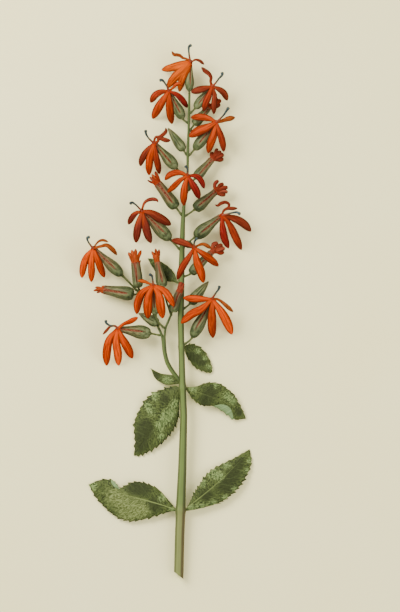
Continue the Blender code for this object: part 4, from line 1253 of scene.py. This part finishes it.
bright = add_node(tree, "ShaderNodeHueSaturation", {"Value": 1.5, "Color": tint}).outputs[0]
warm, dark, deepest, pale = (
    add_node(tree, "ShaderNodeMix", {0: share, 6: tint, 7: linear(colour)}, data_type="RGBA").outputs[2]
    for share, colour in ((0.6, "B8460A"), (0.62, "440F10"), (0.7, "3E1C14"), (0.3, "B8501A")))
tube = lay_over(tree, "521E12", "86543E", veins, 0.42, 0.60)
fresh = add_node(tree, "ShaderNodeMath", {0: tipped, 1: -0.65, 2: 1.0}, operation="MULTIPLY_ADD").outputs[0]
red = lay_over(tree, tint, bright, streaks, 0.50, 0.58, 0.9)
red = lay_over(tree, red, dark, streaks, 0.48, 0.40, 0.95)
red = lay_over(tree, red, dark, veins, 0.52, 0.62, 0.65)
red = lay_over(tree, red, pale, veins, 0.44, 0.34, 0.45)
# Brighter near the throat, reaching further up the lobe on its painted-lit side
red = lay_over(tree, red, warm, along, 0.50, 0.12, 0.75, [(across, 0.22)], fresh)
red = lay_over(tree, red, deepest, margin, 0.90, 1.14, 0.85, [(streaks, 0.6)])
# Painted shade down the side of the lobe that faces the lower right
red = lay_over(tree, red, deepest, across, 0.75, 1.25, 0.8, [(streaks, 0.8)])
red = lay_over(tree, red, dark, margin, 0.16, 0.02, 0.3)
red = lay_over(tree, red, deepest, along, 0.98, 1.24, 0.65, [(streaks, 0.5)], tipped)
red = lay_over(tree, red, "9A2606", along, 0.12, 0.02, 0.6)
red = lay_over(tree, red, tube, along, -0.01, -0.06)
finish_surface(tree, shader, red, 0.66, 0.0, (veins, 0.6, 0.00018))

dice = random.Random(7)
for flower_name, flower in FLOWERS.items():
    hub = hub_of(flower)
    shape = Shape()
    for k, lobe in enumerate(flower.lobes):
        outline = JOINED_OUTLINE if flower_name == "flower_1" and k < 3 else None
        add_lobe(shape, hub, lobe, LOBE_STACK * (k % 2), dice, outline)
    add_corolla_tube(shape, flower, linear(PETAL_COLOURS[flower.lobes[1][3]]))
    make_piece(flower_name + "_petals", shape, petal_finish, flower_name + "_corolla")


# Stamen columns
# The stamens are joined in a thin tube that stands out of the mouth, red at its root, and ends in a blunt
# blue-grey head of anthers that nods over.

# A column starts below the hub and rises fastest at first. Its radius changes along it as its profile says
COLUMN_RADIUS = 0.98
COLUMN_ROOT = 0.8
COLUMN_RISE = 1.25
COLUMN_ROWS = 48
COLUMN_SIDES = 18
COLUMN_PROFILE = [
    (0.0, 1.2), (0.12, 0.92), (0.4, 0.78), (0.62, 0.82), (0.74, 1.0), (0.84, 1.05), (0.92, 1.32), (0.98, 1.1),
    (1.0, 0.4),
]

# Anther tube and filaments: smooth and slightly glossy, red turning through olive to slate blue, which is
# specked over 2 mm
column_finish, tree, shader = new_finish("glossy_stamen_column")
here = add_node(tree, "ShaderNodeTexCoord").outputs["Object"]
along = add_node(tree, "ShaderNodeAttribute", attribute_name="along").outputs["Fac"]
specks = add_node(tree, "ShaderNodeTexNoise", {"Vector": here, "Scale": 500.0, "Detail": 3.0}).outputs["Fac"]
slate = lay_over(tree, "1B2729", "35474A", specks, 0.38, 0.66)
stalk = lay_over(tree, "7D3118", "4A3C2A", along, 0.16, 0.44)
colour = lay_over(tree, stalk, slate, along, 0.36, 0.62)
finish_surface(tree, shader, colour, 0.5, 0.25, (specks, 0.4, 0.0001))

for flower_name, flower in FLOWERS.items():
    hub = hub_of(flower)
    *middles, tip = flower.column
    tip, foot = Vector(tip), hub.z - COLUMN_ROOT
    flat, _ = plan_path([hub.xy, *middles, tip.xy], COLUMN_ROWS)
    shares = [i / COLUMN_ROWS for i in range(COLUMN_ROWS + 1)]
    path = [Vector((*place, foot + (tip.z - foot) * (1 - (1 - t) ** COLUMN_RISE)))
            for t, (place, _) in zip(shares, flat)]
    rings = [round_ring(where, COLUMN_RADIUS * profile_at(COLUMN_PROFILE, t), COLUMN_SIDES)
             for t, where in zip(shares, along_path(path))]
    shape = Shape()
    shape.loft(rings, {"along": [t for t in shares for _ in range(COLUMN_SIDES)]})
    make_piece(flower_name + "_stamens", shape, column_finish, flower_name + "_column")


# Buds
# Flowers that are about to open: the same cup and sepals, and the red petals still pressed together in a
# club whose tips begin to part.

# A bud's crown is the club of petals beyond its mouth, which flares, and its fan the tips that part from it
Bud = namedtuple("Bud", "root base mouth girth neck crown flare tips fan")
BUDS = {
    "bud_1": Bud(
        356.4, (10.6, 362.8, 9.6), (22.4, 376.4, 5.0), 3.9, 2.5, 3.0, 1.0, "blunt",
        [
            ([(25.5, 379.0), (27.6, 381.8)], (28.8, 384.2, 6.0), 3.3, "russet"),
            ([(26.4, 376.8), (29.0, 378.0)], (31.3, 379.5, 5.0), 3.6, "russet"),
            ([(26.5, 378.5), (29.6, 381.0)], (32.1, 382.4, 6.4), 3.6, "brick"),
        ]),
    "bud_2": Bud(
        312.4, (11.2, 319.6, 9.5), (25.2, 335.2, 6.0), 4.0, 2.7, 3.0, 0.95, "blunt",
        [
            ([(24.4, 337.4)], (25.0, 341.0, 5.0), 2.9, "russet"),
            ([(28.2, 334.9), (31.4, 334.7)], (33.9, 335.9, 5.0), 3.5, "russet"),
            ([(26.8, 338.5)], (29.1, 343.8, 6.6), 2.7, "russet"),
            ([(28.4, 338.2), (30.6, 340.2)], (32.2, 341.3, 6.6), 3.3, "russet"),
            ([(28.6, 336.4), (31.6, 338.0)], (34.4, 338.7, 7.0), 3.5, "russet"),
        ]),
    "bud_3": Bud(
        288.6, (-3.7, 296.0, 10.0), (-18.8, 316.0, 9.0), 4.8, 3.5, 3.6, 1.05, "pointed",
        [
            ([(-22.3, 316.0)], (-27.0, 318.3, 8.0), 2.1, "russet"),
            ([(-21.3, 317.4)], (-25.2, 321.0, 9.6), 2.9, "rose"),
            ([(-20.0, 318.4)], (-23.4, 323.0, 10.4), 3.2, "salmon"),
            ([(-17.6, 317.6)], (-20.8, 325.4, 10.0), 3.4, "brick"),
        ]),
    "bud_4": Bud(
        288.4, (10.9, 294.8, 10.0), (28.3, 309.7, 9.0), 4.6, 2.7, 2.4, 1.0, "blunt",
        [
            ([(27.0, 312.6), (27.4, 315.6)], (30.1, 318.1, 9.4), 2.9, "maroon"),
            ([(29.8, 307.6), (32.6, 306.7)], (35.7, 306.7, 8.6), 3.0, "russet"),
            ([(29.6, 312.0), (31.2, 314.3)], (34.3, 315.5, 10.2), 2.9, "russet"),
            ([(31.0, 309.2), (34.6, 309.4)], (37.4, 308.4, 9.4), 2.9, "rose"),
            ([(30.8, 310.9), (34.4, 312.3)], (37.6, 312.2, 10.6), 3.1, "russet"),
        ]),
    "bud_5": Bud(
        (-33.6, 230.9, 10.0), (-34.0, 232.2, 12.3), (-36.6, 252.8, 11.6), 4.0, 3.7, 5.2, 1.22, "pointed",
        [
            ([(-34.0, 252.0)], (-32.2, 254.2, 10.0), 1.9, "rose"),
            ([(-39.2, 256.0)], (-42.2, 260.6, 12.0), 3.6, "salmon"),
            ([(-34.6, 256.0)], (-31.8, 262.3, 12.4), 3.4, "scarlet"),
            ([(-37.8, 257.0)], (-39.5, 262.6, 12.8), 3.5, "salmon"),
            ([(-36.4, 257.4)], (-36.3, 263.4, 13.4), 3.4, "salmon"),
        ]),
    "bud_6": Bud(
        (-7.8, 210.4, 8.4), (-14.6, 232.4, 9.0), (-19.0, 253.4, 9.4), 4.3, 2.5, 5.0, 1.2, "pointed",
        [
            ([(-20.7, 256.8)], (-23.5, 261.4, 9.6), 2.9, "salmon"),
            ([(-18.1, 257.0)], (-17.5, 263.0, 9.8), 2.9, "brick"),
            ([(-19.5, 257.6)], (-20.4, 263.6, 10.8), 3.1, "salmon"),
        ]),
    "bud_7": Bud(
        240.0, (7.6, 243.6, 10.0), (24.8, 260.8, 8.5), 4.1, 2.6, 3.0, 1.15, "blunt",
        [
            ([(25.4, 264.0), (26.2, 266.8)], (29.8, 268.0, 9.0), 3.5, "rose"),
            ([(28.6, 260.9), (31.6, 260.2)], (34.5, 260.8, 8.4), 3.2, "brick"),
            ([(28.0, 263.4), (30.4, 265.6)], (33.5, 266.3, 10.4), 3.2, "russet"),
            ([(29.0, 262.0), (32.6, 263.2)], (35.2, 264.0, 10.6), 3.5, "rose"),
        ]),
    "bud_8": Bud(
        (-35.2, 227.4, 9.0), (-37.7, 226.8, 9.0), (-62.5, 230.8, 7.0), 5.4, 3.6, 1.4, 0.75, "pointed",
        [
            ([(-64.6, 229.4)], (-67.6, 228.2, 6.0), 2.3, "rose"),
            ([(-65.2, 232.2)], (-68.9, 232.5, 6.6), 2.4, "salmon"),
            ([(-65.8, 230.8)], (-70.1, 229.7, 7.4), 2.7, "salmon"),
        ]),
    "bud_9": Bud(
        (-7.8, 211.6, 11.2), (-7.0, 213.2, 12.4), (-1.2, 229.6, 16.4), 4.2, 2.9, 4.0, 0.85, "blunt",
        [
            ([(-0.9, 233.0)], (0.4, 236.8, 16.6), 3.4, "rose"),
            ([(0.4, 232.6)], (1.9, 236.0, 16.0), 2.9, "rose"),
        ]),
}
TIP_OUTLINES = {
    "pointed": [
        (0.0, 0.86), (0.3, 0.78), (0.55, 0.84), (0.74, 0.82), (0.88, 0.60), (0.96, 0.34), (1.0, 0.10),
    ],
    "blunt": [
        (0.0, 0.95), (0.3, 0.94), (0.55, 1.04), (0.76, 1.10), (0.90, 0.96), (0.97, 0.66), (1.0, 0.25),
    ],
}

# The crown's radius along it, in shares of its length and of its neck's radius
CROWN_SWELL = ((0.25, 0.90), (0.5, 0.96), (0.75, 1.02), (0.92, 1.0), (1.0, 0.85), (1.06, 0.5), (1.08, 0.15))
TIPS_BACK = 1.6


def bud_profile(ratio):
    """How the radius of a bud's calyx changes along it, down to the given share at its mouth."""
    return [
        (0.0, 0.42), (0.035, 0.80), (0.10, 0.98), (0.20, 1.04), (0.32, 1.0), (0.48, 0.60 + 0.45 * ratio),
        (0.65, 0.30 + 0.72 * ratio), (0.82, 0.05 + 0.97 * ratio), (1.0, ratio),
    ]


dice = random.Random(11)
for number, (bud_name, bud) in enumerate(BUDS.items()):
    base, mouth = Vector(bud.base), Vector(bud.mouth)
    profile = bud_profile(bud.neck / bud.girth)
    tone = CALYX_TONES.get(bud_name, PLAIN_TONE)
    shape = Shape()
    add_stalk(shape, bud.root, base, mouth)
    roll = slight_roll(number, 23, 19)
    add_calyx(shape, base, base.lerp(mouth, 0.5), mouth, bud.girth, tone, roll, profile)
    make_piece(bud_name + "_sepals", shape, sepal_finish, bud_name)

    ahead = (mouth - base).normalized()
    rows = tube_rows(lambda t: base.lerp(mouth, t), bud.girth, profile)
    for f, swell in CROWN_SWELL:
        rows.append((mouth + ahead * (bud.crown * f), bud.neck * swell * (1 + (bud.flare - 1) * min(1.0, f))))
    reach = [-0.5 if i < TUBE_ROWS else 0.4 for i in range(len(rows))]
    shape = Shape()
    loft_tube(shape, along_path([place for place, _ in rows]), rows, 0.05, reach,
              linear(PETAL_COLOURS[bud.fan[-1][3]]))
    start = mouth + UP * (bud.neck * 0.45) + ahead * (bud.crown * 0.45 - TIPS_BACK)
    for lobe in bud.fan:
        add_lobe(shape, start, lobe, 0.0, dice, TIP_OUTLINES[bud.tips])
    make_piece(bud_name + "_petals", shape, petal_finish, bud_name)


# Green calyxes
# Three calyxes whose flowers have fallen or not yet grown: the sepals close to a point over the cup.

Green = namedtuple("Green", "root base tip girth")
GREENS = {
    "green_calyx_1": Green(337.2, (2.2, 342.0, 8.8), (-10.4, 360.0, 8.0), 3.7),
    "green_calyx_2": Green(213.4, (7.2, 219.6, 9.5), (22.0, 237.2, 8.0), 4.2),
    "green_calyx_3": Green((-18.2, 200.8, 9.0), (-18.4, 203.4, 10.0), (-33.8, 211.8, 8.0), 3.9),
}
CLOSED_PROFILE = [
    (0.0, 0.42), (0.035, 0.78), (0.10, 1.0), (0.20, 1.07), (0.32, 1.04), (0.48, 0.93), (0.62, 0.78),
    (0.78, 0.56), (0.90, 0.32), (1.0, 0.08),
]

for green_name, green in GREENS.items():
    base, tip = Vector(green.base), Vector(green.tip)
    tone = CALYX_TONES.get(green_name, PLAIN_TONE)
    shape = Shape()
    add_stalk(shape, green.root, base, tip)
    add_calyx(shape, base, base.lerp(tip, 0.5), tip, green.girth, tone, 0.0, CLOSED_PROFILE, 1.0, 0.0)
    make_piece(green_name + "_sepals", shape, sepal_finish, green_name)
